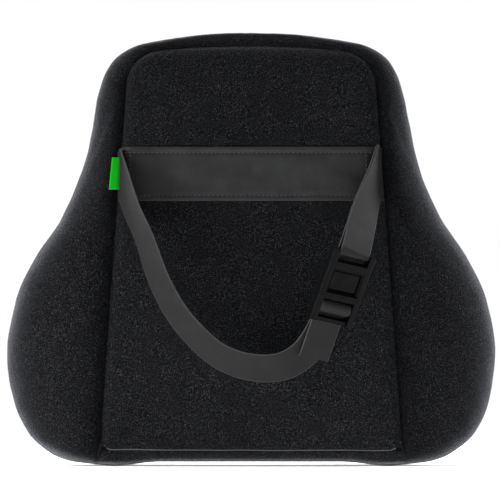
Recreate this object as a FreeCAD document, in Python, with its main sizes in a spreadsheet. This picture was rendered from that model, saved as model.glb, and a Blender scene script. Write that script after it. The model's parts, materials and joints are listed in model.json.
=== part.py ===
"""Lumbar support cushion with a webbing loop and a centre-release buckle, as a parametric FreeCAD document.

Frame: millimetres, +Z up, +X to the right seen from the back. The back (strap) side faces -Y and the
sitter's side faces +Y. The origin is the centre of the flat base that the cushion stands on.
Every sub-part is written to parts/NODE.step.
"""

import FreeCAD, Part

import math
import os

import Sketcher
from FreeCAD import Matrix, Placement, Rotation, Vector

DIMENSIONS = {
    "cushion_height": 345.0,
    "rear_plane": -45.0,
    "seam_base_half": 121.0,
    "seam_top_half": 97.0,
    "panel_top": 333.0,
    "panel_corner": 30.0,
    "cover_wall": 2.2,
    "liner_outside": 2.5,
    "liner_wall": 0.8,
    "foam_outside": 3.6,
    "gusset_top": 12.7,
    "gusset_half": 122.0,
    "flap_top": 37.0,
    "flap_gap": 1.3,
    "flap_corner": 7.0,
    "channel_half": 118.0,
    "channel_low": 7.0,
    "channel_high": 33.0,
    "channel_floor": -31.8,
    "band_low": 211.0,
    "band_high": 254.0,
    "band_half": 99.0,
    "band_thick": 1.5,
    "band_hem": 3.2,
    "band_hem_thick": 0.5,
    "label_right": -105.0,
    "label_wide": 8.4,
    "label_low": 220.0,
    "label_high": 245.6,
    "label_thick": 0.8,
    "webbing_wide": 26.0,
    "webbing_thick": 1.2,
    "strap_start": -47.4,
    "buckle_half": 18.75,
    "buckle_thick": 10.5,
    "slot_half": 13.6,
    "socket_long": 37.0,
    "cavity_half": 14.5,
    "cavity_back": 2.2,
    "cavity_front": 8.3,
    "cavity_deep": 23.0,
    "window_half": 12.0,
    "window_low": 3.8,
    "window_high": 19.8,
    "strap_slot_low": 28.0,
    "top_bar_up": 34.6,
    "top_bar_in": 5.2,
    "top_bar_radius": 2.0,
    "insert_long": 23.0,
    "insert_gap": 0.15,
    "shoulder_low": 3.2,
    "crossbar_high": 19.7,
    "crossbar_back": 2.2,
    "crossbar_front": 2.5,
    "roll_bar_down": 10.4,
    "roll_bar_in": 5.3,
    "roll_bar_radius": 2.9,
    "roll_radius": 4.6,
    "plug_half": 14.1,
    "plug_back": 2.6,
    "plug_thick": 5.3,
    "plug_long": 21.4,
    "prong_inside": 12.3,
    "tongue_half": 11.9,
    "tongue_low": 1.3,
    "tongue_high": 19.6,
    "tongue_back": 4.0,
    "tongue_thick": 1.6,
    "button_half": 11.6,
    "button_low": 4.3,
    "button_high": 19.3,
    "button_thick": 2.1,
    "dot_radius": 0.55,
    "dot_rise": 0.35,
    "dot_pitch": 2.9,
    "tail_long": 33.0,
    "tail_forward": 1.2,
    "zip_middle": 19.0,
    "zip_half": 112.0,
    "tape_wide": 9.0,
    "tape_thick": 0.6,
    "tape_back": -34.5,
    "teeth_gap": 1.1,
    "tooth_wide": 2.0,
    "tooth_long": 1.5,
    "tooth_thick": 1.9,
    "tooth_pitch": 3.0,
    "slider_long": 11.0,
    "slider_wide": 7.6,
    "slider_plate": 0.8,
    "slider_inner": 2.5,
    "slider_at": 98.0,
    "pull_long": 18.0,
    "pull_wide": 5.2,
    "pull_thick": 1.0,
}

# One row per height: height, half width, rear face, front face and the depth at which the side is widest.
STATIONS = (
    (0.0, 115.0, -30.0, 34.0, 4.0),
    (4.0, 145.5, -39.0, 46.0, 6.0),
    (12.0, 163.0, -44.0, 54.0, 8.0),
    (27.0, 179.0, -45.0, 62.0, 10.0),
    (55.0, 190.5, -45.0, 68.0, 12.0),
    (92.0, 195.0, -45.0, 70.0, 14.0),
    (130.0, 188.5, -45.0, 66.0, 13.0),
    (165.0, 173.0, -45.0, 56.0, 10.0),
    (200.0, 150.0, -45.0, 43.0, 4.0),
    (235.0, 135.0, -45.0, 28.0, -4.0),
    (270.0, 126.0, -45.0, 14.0, -11.0),
    (300.0, 120.0, -45.0, 2.0, -17.0),
    (320.0, 111.5, -45.0, -6.0, -20.0),
    (334.0, 92.0, -43.5, -12.0, -26.0),
    (341.5, 52.0, -41.0, -16.0, -28.0),
    (345.0, 20.0, -36.5, -19.5, -28.0),
)
SECTION_FULLNESS = 2.4
WING_RISE = 0.11
WING_FROM = 90.0
CORNER_STEPS = 5
FLAT_STEPS = 4

# The long webbing's middle line from inside the left seam down to the buckle: x, y, z and the turn of its
# width, in degrees, out of the plane of the back panel.
LOOP_ROUTE = (
    (-108.4, -36.0, 245.2, 57.8),
    (-103.0, -46.5, 229.0, 57.8),
    (-95.0, -62.0, 205.0, 57.0),
    (-85.0, -74.0, 182.0, 55.0),
    (-73.3, -81.5, 149.3, 50.0),
    (-61.0, -83.0, 125.4, 47.0),
    (-45.4, -81.3, 105.6, 44.0),
    (-27.4, -78.8, 89.7, 41.0),
    (-9.6, -76.2, 81.4, 37.0),
    (7.2, -73.6, 78.4, 34.0),
    (21.2, -71.2, 79.0, 31.5),
    (32.2, -69.4, 82.9, 30.0),
    (43.5, -68.1, 91.3, 29.3),
)
# The short webbing's middle line above the buckle, up to inside the right seam.
ARM_ROUTE = (
    (84.3, -84.5, 180.0, 27.5),
    (87.0, -77.5, 190.0, 30.5),
    (90.4, -68.0, 202.5, 37.0),
    (95.0, -57.2, 217.0, 48.0),
    (100.0, -46.5, 232.0, 57.8),
    (105.3, -36.0, 248.2, 57.8),
)
BUCKLE_ORIGIN = Vector(67.3, -78.0, 138.0)
BUCKLE_UP = Vector(0.330, -0.224, 0.917)
BUCKLE_TURN = 26.5
RUN_BEHIND = 1.15
# The webbing winds round the insert's bar between these two angles, in degrees.
ROLL_FROM = 15.0
ROLL_TO = 240.0
ROUTE_STEPS = 40
BEND_STEPS = 14
DOT_ROWS = 4
DOT_COLUMNS = 3

doc = FreeCAD.newDocument("lumbar_cushion")
sheet = doc.addObject("Spreadsheet::Sheet", "Dims")
made = []


class Size:
    """A length that carries the sheet expression which gives it."""

    def __init__(self, value, text):
        self.value = value
        self.text = text

    def __add__(self, other):
        return Size(self.value + number(other), f"({self.text} + {length_text(other)})")

    def __sub__(self, other):
        return Size(self.value - number(other), f"({self.text} - {length_text(other)})")

    def __mul__(self, times):
        return Size(self.value * times, f"({self.text} * {times})")

    def __neg__(self):
        return Size(-self.value, f"(0 mm - {self.text})")


def number(length):
    return length.value if isinstance(length, Size) else float(length)


def length_text(length):
    return length.text if isinstance(length, Size) else f"{length} mm"


def fill_sheet():
    for row, (alias, value) in enumerate(DIMENSIONS.items(), start=1):
        sheet.set(f"A{row}", alias)
        sheet.set(f"B{row}", str(value))
        sheet.setAlias(f"B{row}", alias)
    doc.recompute()


fill_sheet()


def size(alias):
    return Size(float(sheet.get(alias)), f"Dims.{alias} * 1 mm")


def bind(item, prop, length):
    item.setExpression(prop, length_text(length))


# ---------------------------------------------------------------- PartDesign helpers


def new_body(label):
    body = doc.addObject("PartDesign::Body", label)
    body.Label = label
    made.append(body)
    return body


def new_sketch(body, plane, offset):
    """An empty sketch on one of the body's origin planes, moved along that plane's normal."""
    sketch = body.newObject("Sketcher::SketchObject", body.Label + "_sketch")
    origin_plane = next(f for f in body.Origin.OriginFeatures if f.Role == plane)
    sketch.AttachmentSupport = [(origin_plane, "")]
    sketch.MapMode = "FlatFace"
    sketch.AttachmentOffset = Placement(Vector(0, 0, number(offset)), Rotation())
    if isinstance(offset, Size):
        sketch.setExpression("AttachmentOffset.Base.z", offset.text)
    return sketch


def name_and_bind(sketch, constraint, name, length):
    index = sketch.addConstraint(constraint)
    sketch.renameConstraint(index, name)
    bind(sketch, f"Constraints.{name}", length)


def rectangle(body, plane, offset, across, along):
    """A rectangle spanning across and along, each a pair of values in the plane's own directions."""
    sketch = new_sketch(body, plane, offset)
    x0, x1 = (number(v) for v in across)
    y0, y1 = (number(v) for v in along)
    corners = [Vector(x0, y0, 0), Vector(x1, y0, 0), Vector(x1, y1, 0), Vector(x0, y1, 0)]
    for i in range(4):
        sketch.addGeometry(Part.LineSegment(corners[i], corners[(i + 1) % 4]), False)
    for i in range(4):
        sketch.addConstraint(Sketcher.Constraint("Coincident", i, 2, (i + 1) % 4, 1))
    for i in (0, 2):
        sketch.addConstraint(Sketcher.Constraint("Horizontal", i))
    for i in (1, 3):
        sketch.addConstraint(Sketcher.Constraint("Vertical", i))
    edges = (("left", "DistanceX", 0, 1, across[0]), ("right", "DistanceX", 1, 1, across[1]))
    edges += (("low", "DistanceY", 0, 1, along[0]), ("high", "DistanceY", 2, 1, along[1]))
    for name, kind, line, end, length in edges:
        constraint = Sketcher.Constraint(kind, -1, 1, line, end, number(length))
        name_and_bind(sketch, constraint, name, length)
    return sketch


def disc(body, plane, offset, centre, radius):
    sketch = new_sketch(body, plane, offset)
    middle = Vector(number(centre[0]), number(centre[1]), 0)
    sketch.addGeometry(Part.Circle(middle, Vector(0, 0, 1), number(radius)), False)
    name_and_bind(sketch, Sketcher.Constraint("Radius", 0, number(radius)), "radius", radius)
    for name, kind, length in (("over", "DistanceX", centre[0]), ("up", "DistanceY", centre[1])):
        constraint = Sketcher.Constraint(kind, -1, 1, 0, 3, number(length))
        name_and_bind(sketch, constraint, name, length)
    return sketch


def pad(body, sketch, length, reverse=False):
    feature = body.newObject("PartDesign::Pad", body.Label + "_pad")
    feature.Profile = sketch
    feature.Length = number(length)
    bind(feature, "Length", length)
    feature.Reversed = reverse
    doc.recompute()
    return feature


def pocket(body, sketch, length, reverse=False):
    """Cuts along the direction against the sketch's normal, or along it when reversed."""
    before = body.Shape.Volume
    feature = body.newObject("PartDesign::Pocket", body.Label + "_pocket")
    feature.Profile = sketch
    feature.Length = number(length)
    bind(feature, "Length", length)
    feature.Reversed = reverse
    doc.recompute()
    if body.Shape.Volume > before - 1e-3:
        raise ValueError(f"a pocket of {body.Label} cuts nothing")
    return feature


def round_edges(body, wanted, radius, kind="Fillet"):
    """Fillets or chamfers every edge of the body for which wanted(edge) is true."""
    base = body.Tip
    names = [f"Edge{i + 1}" for i, e in enumerate(base.Shape.Edges) if wanted(e)]
    feature = body.newObject("PartDesign::" + kind, body.Label + "_" + kind.lower())
    feature.Base = (base, names)
    if kind == "Fillet":
        feature.Radius = radius
    else:
        feature.Size = radius
    doc.recompute()
    return feature


def vertical(edge):
    """True for a straight edge along Z."""
    first, last = edge.Vertexes[0].Point, edge.Vertexes[-1].Point
    return (first - last).Length > 1 and abs(abs(first.z - last.z) - (first - last).Length) < 1e-6


def along_x(edge):
    first, last = edge.Vertexes[0].Point, edge.Vertexes[-1].Point
    return (first - last).Length > 1 and abs(abs(first.x - last.x) - (first - last).Length) < 1e-6


# ---------------------------------------------------------------- soft pieces of the cushion


def feature(label, shape):
    """A sub-part whose shape is worked out here from the sheet."""
    item = doc.addObject("Part::Feature", label)
    item.Label = label
    item.Shape = shape
    made.append(item)
    return item


def seam_half(height):
    """Half width of the back panel at a height."""
    base, top = number(size("seam_base_half")), number(size("seam_top_half"))
    return base + (top - base) * height / number(size("cushion_height"))


def section(station, inset):
    """The closed outline of the cushion at one height, moved inwards by inset."""
    height, half, rear, front, widest = station
    half, rear, front = half - inset, rear + inset, front - inset
    full = number(size("cushion_height"))
    level = inset + height * (full - 2 * inset) / full
    rear_flat = min(seam_half(height) - inset, 0.72 * half)
    front_flat = 0.6 * half
    rise = WING_RISE * max(0.0, half - WING_FROM)
    power = 2 / SECTION_FULLNESS
    points = [(front_flat * i / FLAT_STEPS, front + rise * (i / FLAT_STEPS) ** 2) for i in range(FLAT_STEPS)]
    for i in range(CORNER_STEPS):
        turn = math.pi / 2 * i / CORNER_STEPS
        out, back = math.sin(turn) ** power, math.cos(turn) ** power
        points.append((front_flat + (half - front_flat) * out, widest + (front + rise - widest) * back))
    for i in range(CORNER_STEPS):
        turn = math.pi / 2 * (1 - i / CORNER_STEPS)
        out, back = math.sin(turn) ** power, math.cos(turn) ** power
        points.append((rear_flat + (half - rear_flat) * out, widest + (rear - widest) * back))
    points += [(rear_flat * (1 - i / FLAT_STEPS), rear) for i in range(FLAT_STEPS)]
    outline = points + [(0.0, rear)] + [(-x, y) for x, y in reversed(points[1:])]
    curve = Part.BSplineCurve()
    curve.interpolate([Vector(x, y, level) for x, y in outline], PeriodicFlag=True)
    start, end = curve.FirstParameter, curve.LastParameter
    middle = curve.parameter(Vector(0, rear, level))
    return Part.Wire([curve.toShape(start, middle), curve.toShape(middle, end)])


def cushion_form(inset):
    """The whole cushion as one solid, moved inwards by inset."""
    return Part.makeLoft([section(s, inset) for s in STATIONS], True, False, False, 5)


def block(x, y, z):
    """A box between two x, two y and two z values."""
    return Part.makeBox(x[1] - x[0], y[1] - y[0], z[1] - z[0], Vector(x[0], y[0], z[0]))


def upright_prism(corners, front, back, radii):
    """A prism along Y whose outline in X and Z has the given corners, each rounded by its radius."""
    edges, starts, ends = [], [], []
    count = len(corners)
    for i in range(count):
        here = Vector(corners[i][0], front, corners[i][1])
        before = Vector(corners[i - 1][0], front, corners[i - 1][1])
        after = Vector(corners[(i + 1) % count][0], front, corners[(i + 1) % count][1])
        into, out = (before - here).normalize(), (after - here).normalize()
        half_turn = into.getAngle(out) / 2
        if radii[i] <= 0:
            starts.append(here)
            ends.append(here)
            continue
        back_off = radii[i] / math.tan(half_turn)
        bisector = (into + out).normalize()
        middle = here + bisector * (radii[i] / math.sin(half_turn) - radii[i])
        starts.append(here + into * back_off)
        ends.append(here + out * back_off)
        edges.append(Part.Arc(starts[i], middle, ends[i]).toShape())
    for i in range(count):
        edges.append(Part.LineSegment(ends[i], starts[(i + 1) % count]).toShape())
    outline = Part.Wire(Part.__sortEdges__(edges))
    return Part.Face(outline).extrude(Vector(0, back - front, 0))


def build_cushion():
    outer = cushion_form(0.0)
    cover = outer.cut(cushion_form(number(size("cover_wall"))))
    flap_top, flap_gap = number(size("flap_top")), number(size("flap_gap"))
    gusset_top, gusset_half = number(size("gusset_top")), number(size("gusset_half"))
    panel_top = number(size("panel_top"))
    corner = number(size("panel_corner"))

    seam_low, seam_high = seam_half(flap_top + flap_gap), seam_half(panel_top)
    panel_corners = ((-seam_low, flap_top + flap_gap), (seam_low, flap_top + flap_gap))
    panel_corners += ((seam_high, panel_top), (-seam_high, panel_top))
    panel_tool = upright_prism(panel_corners, -60.0, -30.0, (0, 0, corner, corner))

    flap_low, flap_high = seam_half(gusset_top) - 0.7, seam_half(flap_top) - 0.7
    flap_corners = ((-flap_low, gusset_top), (flap_low, gusset_top))
    flap_corners += ((flap_high, flap_top), (-flap_high, flap_top))
    round_by = number(size("flap_corner"))
    flap_tool = upright_prism(flap_corners, -60.0, -30.0, (round_by, round_by, 0, 0))
    room_half, room_low = seam_half(0), gusset_top - 0.01
    room_corners = ((-room_half, room_low), (room_half, room_low), panel_corners[1], panel_corners[0])
    flap_room = upright_prism(room_corners, -60.0, -30.0, (0, 0, 0, 0))
    gusset_tool = block((-gusset_half, gusset_half), (-80.0, 120.0), (-1.0, gusset_top - 0.4))

    feature("back_panel", cover.common(panel_tool))
    feature("panel_flap", cover.common(flap_tool))
    feature("bottom_gusset", cover.common(gusset_tool))
    feature("cover_wrap", cover.cut(panel_tool).cut(flap_room).cut(gusset_tool))

    channel_half, channel_floor = number(size("channel_half")), number(size("channel_floor"))
    channel = block(
        (-channel_half, channel_half),
        (-60.0, channel_floor),
        (number(size("channel_low")), number(size("channel_high"))),
    )
    liner_out = number(size("liner_outside"))
    liner = cushion_form(liner_out).cut(cushion_form(liner_out + number(size("liner_wall"))))
    feature("inner_liner", liner.cut(channel))
    feature("foam_core", cushion_form(number(size("foam_outside"))).cut(channel))


# ---------------------------------------------------------------- band and label on the back panel


def build_band():
    body = new_body("back_band")
    outside = size("rear_plane") - 0.15
    high, low, half = size("band_high"), size("band_low"), size("band_half")
    strip = rectangle(body, "XZ_Plane", -outside, (-half, half), (low, high))
    pad(body, strip, size("band_thick"))
    face = -outside + size("band_thick")
    for start, end in ((low, low + size("band_hem")), (high - size("band_hem"), high)):
        hem = rectangle(body, "XZ_Plane", face, (-half, half), (start, end))
        pad(body, hem, size("band_hem_thick"))
    round_edges(body, along_x, 0.2)


def build_label():
    body = new_body("side_label")
    right = size("label_right")
    across = (right - size("label_wide"), right)
    up = (size("label_low"), size("label_high"))
    outline = rectangle(body, "XZ_Plane", -size("rear_plane") + 0.4, across, up)
    pad(body, outline, size("label_thick"))
    round_edges(body, vertical, 0.3)


# ---------------------------------------------------------------- buckle


def width_direction(heading, turn):
    """The direction of the webbing's width, where it heads one way and is turned by an angle."""
    across = Vector(-heading.z, 0, heading.x).normalize()
    outward = heading.cross(across).normalize()
    angle = math.radians(turn)
    return across * math.cos(angle) + outward * math.sin(angle)


def buckle_place():
    """The buckle's own X is its width, its -Y its front and its Z runs up the strap."""
    up = Vector(BUCKLE_UP).normalize()
    right = width_direction(up, BUCKLE_TURN) * -1
    back = up.cross(right)
    rows = [(right[i], back[i], up[i], BUCKLE_ORIGIN[i]) for i in range(3)]
    return Placement(Matrix(*rows[0], *rows[1], *rows[2], 0, 0, 0, 1))


def front_rim(edge, depth, half):
    """True for an edge on the buckle's front face, at its outline or its window."""
    middle = edge.BoundBox.Center
    return abs(middle.y + depth) < 0.01 and edge.BoundBox.YLength < 0.01 and abs(middle.x) <= half + 0.01


def build_socket(place):
    body = new_body("buckle_socket")
    half, thick = size("buckle_half"), size("buckle_thick")
    slot_half, slot_low, long = size("slot_half"), size("strap_slot_low"), size("socket_long")
    pad(body, rectangle(body, "XZ_Plane", 0.0, (-half, half), (0.0, long)), thick)
    pocket(body, rectangle(body, "XZ_Plane", thick, (-slot_half, slot_half), (slot_low, long + 2)), thick)
    cavity_half = size("cavity_half")
    cavity_depth = (-size("cavity_front"), -size("cavity_back"))
    cavity = rectangle(body, "XY_Plane", 0.0, (-cavity_half, cavity_half), cavity_depth)
    pocket(body, cavity, size("cavity_deep"), reverse=True)
    window_half = size("window_half")
    window = rectangle(
        body, "XZ_Plane", thick, (-window_half, window_half), (size("window_low"), size("window_high"))
    )
    pocket(body, window, thick - size("cavity_front"))
    depth, rim = number(thick), number(window_half)
    outer_half = number(half)
    round_edges(body, lambda e: front_rim(e, depth, rim) and 3 < e.BoundBox.Center.z < 21, 2.1, "Chamfer")
    round_edges(body, lambda e: vertical(e) and abs(abs(e.BoundBox.Center.x) - outer_half) < 0.01, 2.2)
    bar = disc(
        body, "YZ_Plane", -slot_half, (-size("top_bar_in"), size("top_bar_up")), size("top_bar_radius")
    )
    pad(body, bar, slot_half * 2)
    body.Placement = place


def build_insert(place):
    body = new_body("buckle_insert")
    half, thick = size("buckle_half"), size("buckle_thick")
    slot_half, long = size("slot_half"), size("insert_long")
    pad(body, rectangle(body, "XZ_Plane", 0.0, (-half, half), (-long, -size("insert_gap"))), thick)
    opening = rectangle(
        body, "XZ_Plane", thick, (-slot_half, slot_half), (-size("crossbar_high"), -size("shoulder_low"))
    )
    pocket(body, opening, thick)
    relief = rectangle(
        body, "XZ_Plane", 0.0, (-slot_half, slot_half), (-long - 1, -size("crossbar_high"))
    )
    pocket(body, relief, size("crossbar_back"), reverse=True)
    front_relief = rectangle(
        body, "XZ_Plane", thick, (-slot_half, slot_half), (-long - 1, -size("crossbar_high"))
    )
    pocket(body, front_relief, size("crossbar_front"))
    outer_half = number(half)
    round_edges(body, lambda e: vertical(e) and abs(abs(e.BoundBox.Center.x) - outer_half) < 0.01, 2.2)
    plug_half, prong = size("plug_half"), size("prong_inside")
    plug = rectangle(body, "XZ_Plane", size("plug_back"), (-plug_half, plug_half), (-1.0, size("plug_long")))
    pad(body, plug, size("plug_thick"))
    plug_front = size("plug_back") + size("plug_thick")
    gap = rectangle(body, "XZ_Plane", plug_front, (-prong, prong), (0.9, size("plug_long") + 1))
    pocket(body, gap, size("plug_thick"))
    bar = disc(
        body, "YZ_Plane", -slot_half, (-size("roll_bar_in"), -size("roll_bar_down")), size("roll_bar_radius")
    )
    pad(body, bar, slot_half * 2)
    body.Placement = place


def build_tongue(place):
    body = new_body("release_tongue")
    half, back = size("tongue_half"), size("tongue_back")
    plate = rectangle(body, "XZ_Plane", back, (-half, half), (size("tongue_low"), size("tongue_high")))
    pad(body, plate, size("tongue_thick"))
    front = back + size("tongue_thick")
    button_half = size("button_half")
    button = rectangle(
        body, "XZ_Plane", front, (-button_half, button_half), (size("button_low"), size("button_high"))
    )
    pad(body, button, size("button_thick"))
    button_face = number(front) + number(size("button_thick"))
    round_edges(body, lambda e: front_rim(e, button_face, number(button_half)), 0.5)
    dots = new_sketch(body, "XZ_Plane", front + size("button_thick"))
    pitch, radius = number(size("dot_pitch")), number(size("dot_radius"))
    middle = (number(size("button_low")) + number(size("button_high"))) / 2
    for row in range(-DOT_ROWS, DOT_ROWS + 1):
        shift = 0.5 * (row % 2)
        for column in range(-DOT_COLUMNS, DOT_COLUMNS + 1 - row % 2):
            centre = Vector((column + shift) * pitch, middle + row * pitch / 2, 0)
            dots.addGeometry(Part.Circle(centre, Vector(0, 0, 1), radius), False)
    pad(body, dots, size("dot_rise"))
    body.Placement = place


# ---------------------------------------------------------------- webbing


def ribbon(stations):
    """A solid strip through stations of (middle, width direction, heading), with ruled sides."""
    thick, wide = number(size("webbing_thick")), number(size("webbing_wide"))
    wires = []
    for middle, across, heading in stations:
        normal = across.cross(heading).normalize()
        corners = []
        for sideways, outwards in ((-0.5, -0.5), (0.5, -0.5), (0.5, 0.5), (-0.5, 0.5)):
            corners.append(middle + across * (wide * sideways) + normal * (thick * outwards))
        wires.append(Part.makePolygon(corners + [corners[0]]))
    strip = Part.makeLoft(wires, True, True, False)
    if strip.Volume < 0:
        strip.reverse()
    return strip


def outside_cushion(strip):
    """The strip without what runs on past the back panel's seams."""
    return strip.cut(block((-300.0, 300.0), (number(size("strap_start")), 100.0), (0.0, 400.0)))


def spline_stations(route, steps):
    """Even stations along a smooth line through a route of (x, y, z, turn)."""
    points = [Vector(*r[:3]) for r in route]
    curve = Part.BSplineCurve()
    curve.interpolate(Points=points)
    at_points = [curve.parameter(p) for p in points]
    lengths = [curve.length(curve.FirstParameter, u) if u > curve.FirstParameter else 0.0 for u in at_points]
    total = curve.length()
    stations = []
    for i in range(steps + 1):
        run = total * i / steps
        u = curve.parameterAtDistance(run, curve.FirstParameter)
        k = max(j for j in range(len(lengths)) if lengths[j] <= run + 1e-6)
        k = min(k, len(lengths) - 2)
        share = (run - lengths[k]) / (lengths[k + 1] - lengths[k])
        turn = route[k][3] + (route[k + 1][3] - route[k][3]) * max(0.0, min(1.0, share))
        heading = curve.tangent(u)[0]
        stations.append((curve.value(u), width_direction(heading, turn), heading))
    return stations


def build_webbing(place):
    thick = number(size("webbing_thick"))
    up = Vector(BUCKLE_UP).normalize()
    right = width_direction(up, BUCKLE_TURN) * -1
    front = up.cross(right) * -1

    def local(back, height):
        return place.multVec(Vector(0, back, height))

    # Long webbing, from the left seam round the loop and up behind the insert.
    route = list(LOOP_ROUTE)
    for height in (-27.0, -16.0, -5.5):
        point = local(RUN_BEHIND, height)
        route.append((point.x, point.y, point.z, BUCKLE_TURN))
    feature("webbing_long", outside_cushion(ribbon(spline_stations(route, ROUTE_STEPS))))

    # Its last stretch rolls over the insert's bar and hangs down as the tail.
    roll_in, roll_down = number(size("roll_bar_in")), number(size("roll_bar_down"))
    radius = number(size("roll_radius"))
    stations = []
    for i in range(BEND_STEPS + 1):
        angle = math.radians(ROLL_FROM + (ROLL_TO - ROLL_FROM) * i / BEND_STEPS)
        middle = local(-roll_in + radius * math.cos(angle), -roll_down + radius * math.sin(angle))
        heading = (front * math.sin(angle) + up * math.cos(angle)).normalize()
        stations.append((middle, right * -1, heading))
    tail_back = -number(size("tail_forward"))
    tail_end = number(size("insert_long")) + number(size("tail_long"))
    stations.append((local(-3.4, -16.8), right * -1, (front * -0.75 - up * 0.66).normalize()))
    stations.append((local(-1.75, -18.4), right * -1, (front * -0.4 - up * 0.92).normalize()))
    for height in (-20.5, -tail_end):
        stations.append((local(tail_back, height), right * -1, up * -1))
    feature("webbing_tail", ribbon(stations))

    # Short webbing: doubled, down the front, round the socket's bar and back up behind.
    bar = local(-number(size("top_bar_in")), number(size("top_bar_up")))
    bend = number(size("top_bar_radius")) + 0.25 + thick / 2
    start = bar + up * 1.5
    arm = [(start.x, start.y, start.z, BUCKLE_TURN)] + list(ARM_ROUTE)
    line = spline_stations(arm, ROUTE_STEPS // 2)
    down, back_up = [], []
    for middle, across, heading in line:
        away = (middle - start).Length
        apart = bend + (0.85 - bend) * min(1.0, away / 26.0)
        normal = heading.cross(across).normalize()
        if normal.y > 0:
            normal = normal * -1
        down.append((middle + normal * apart, across, heading * -1))
        back_up.append((middle - normal * apart, across, heading))
    down.reverse()
    around = []
    for i in range(1, BEND_STEPS):
        angle = math.pi * i / BEND_STEPS
        middle = bar + front * (bend * math.cos(angle)) - up * (bend * math.sin(angle))
        heading = front * -math.sin(angle) - up * math.cos(angle)
        around.append((middle, right * -1, heading))
    feature("webbing_short", outside_cushion(ribbon(down + around + back_up)))


# ---------------------------------------------------------------- zip behind the flap


def build_tapes():
    half, middle = size("zip_half"), size("zip_middle")
    gap, wide, thick = size("teeth_gap"), size("tape_wide"), size("tape_thick")
    edge = gap * 0.5 + 0.25
    for label, span in (
        ("zip_tape_upper", (middle + edge, middle + edge + wide)),
        ("zip_tape_lower", (middle - edge - wide, middle - edge)),
    ):
        body = new_body(label)
        pad(body, rectangle(body, "XZ_Plane", -size("tape_back"), (-half, half), span), thick)


def build_teeth():
    """Each row is one node of separate teeth, each gripping the edge of its tape."""
    gap, wide = number(size("teeth_gap")), number(size("tooth_wide"))
    long, thick = number(size("tooth_long")), number(size("tooth_thick"))
    pitch, tape_thick = number(size("tooth_pitch")), number(size("tape_thick"))
    middle, half = number(size("zip_middle")), number(size("zip_half")) - 8
    centre = number(size("tape_back")) - tape_thick / 2
    count = int(2 * half / pitch)
    for label, side, shift in (("zip_teeth_upper", 1, 0.0), ("zip_teeth_lower", -1, 0.5)):
        near = middle + gap / 2 * side
        far = near + wide * side
        tape_edge = near + 0.24 * side
        left = -half + pitch * shift
        tooth_y = (centre - thick / 2, centre + thick / 2)
        tooth = block((left, left + long), tooth_y, sorted((near, far)))
        slot_y = (centre - tape_thick / 2, centre + tape_thick / 2)
        tooth = tooth.cut(block((left - 1, left + long + 1), slot_y, sorted((tape_edge, far + side))))
        row = [tooth.translated(Vector(i * pitch, 0, 0)) for i in range(count)]
        feature(label, Part.makeCompound(row))


def build_stops():
    body = new_body("zip_end_stops")
    middle, reach = size("zip_middle"), size("zip_half") - 5
    half_wide = size("tooth_wide") + size("teeth_gap") * 0.5
    front = -size("tape_back") + size("tape_thick") + 0.05
    for span in ((-reach, -reach + 1.6), (reach - 1.6, reach)):
        stop = rectangle(body, "XZ_Plane", front, span, (middle - half_wide, middle + half_wide))
        pad(body, stop, 0.7)


def slider_front():
    """How far in front of Y=0 the zip slider's front plate stands."""
    half_inner = size("slider_inner") * 0.5
    return -size("tape_back") + size("tape_thick") * 0.5 + half_inner + size("slider_plate")


def build_slider():
    body = new_body("zip_slider")
    at, middle = size("slider_at"), size("zip_middle")
    long, wide, plate = size("slider_long"), size("slider_wide"), size("slider_plate")
    inner = size("slider_inner")
    centre = -size("tape_back") + size("tape_thick") * 0.5
    span_x = (at - long * 0.5, at + long * 0.5)
    span_z = (middle - wide * 0.5, middle + wide * 0.5)
    back_face = centre - inner * 0.5 - plate
    whole = rectangle(body, "XZ_Plane", back_face, span_x, span_z)
    pad(body, whole, inner + plate * 2)
    room_z = (middle - wide * 0.5 + plate, middle + wide * 0.5 - plate)
    room = rectangle(body, "YZ_Plane", at + long, (-centre - inner * 0.5, -centre + inner * 0.5), room_z)
    pocket(body, room, long * 2)
    tape_room = size("tape_thick") * 0.5 + 0.25
    gap_y = (-centre - tape_room, -centre + tape_room)
    gap = rectangle(body, "YZ_Plane", at + long, gap_y, (middle - wide, middle + wide))
    pocket(body, gap, long * 2)
    post_z = (middle - 0.25, middle + 0.25)
    post = rectangle(body, "XZ_Plane", back_face + plate * 0.5, (at + 2.2, at + 4.6), post_z)
    pad(body, post, inner + plate)
    front_face = slider_front()
    for low in (middle - 1.3, middle + 0.7):
        lug = rectangle(body, "XZ_Plane", front_face - 0.2, (at - 1.6, at + 1.6), (low, low + 0.6))
        pad(body, lug, 1.5)
    pin = disc(body, "XY_Plane", middle - 0.8, (at, -front_face - 0.75), 0.35)
    pad(body, pin, 1.6)


def build_pull():
    body = new_body("zip_pull")
    at, middle, long, wide = size("slider_at"), size("zip_middle"), size("pull_long"), size("pull_wide")
    thick = size("pull_thick")
    front_face = slider_front()
    lift = front_face + 0.75 - thick * 0.5
    stem = rectangle(body, "XZ_Plane", lift, (at - 4.4, at + 0.8), (middle - 0.5, middle + 0.5))
    pad(body, stem, thick)
    tab = rectangle(body, "XZ_Plane", lift, (at - long, at - 4.2), (middle - wide * 0.5, middle + wide * 0.5))
    pad(body, tab, thick)
    hole = disc(body, "XZ_Plane", lift + thick, (at - long + 3.0, middle), 1.3)
    pocket(body, hole, thick)
    eye = disc(body, "XY_Plane", middle + 2, (at, -front_face - 0.75), 0.38)
    pocket(body, eye, 4.0)


# ---------------------------------------------------------------- whole model


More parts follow.
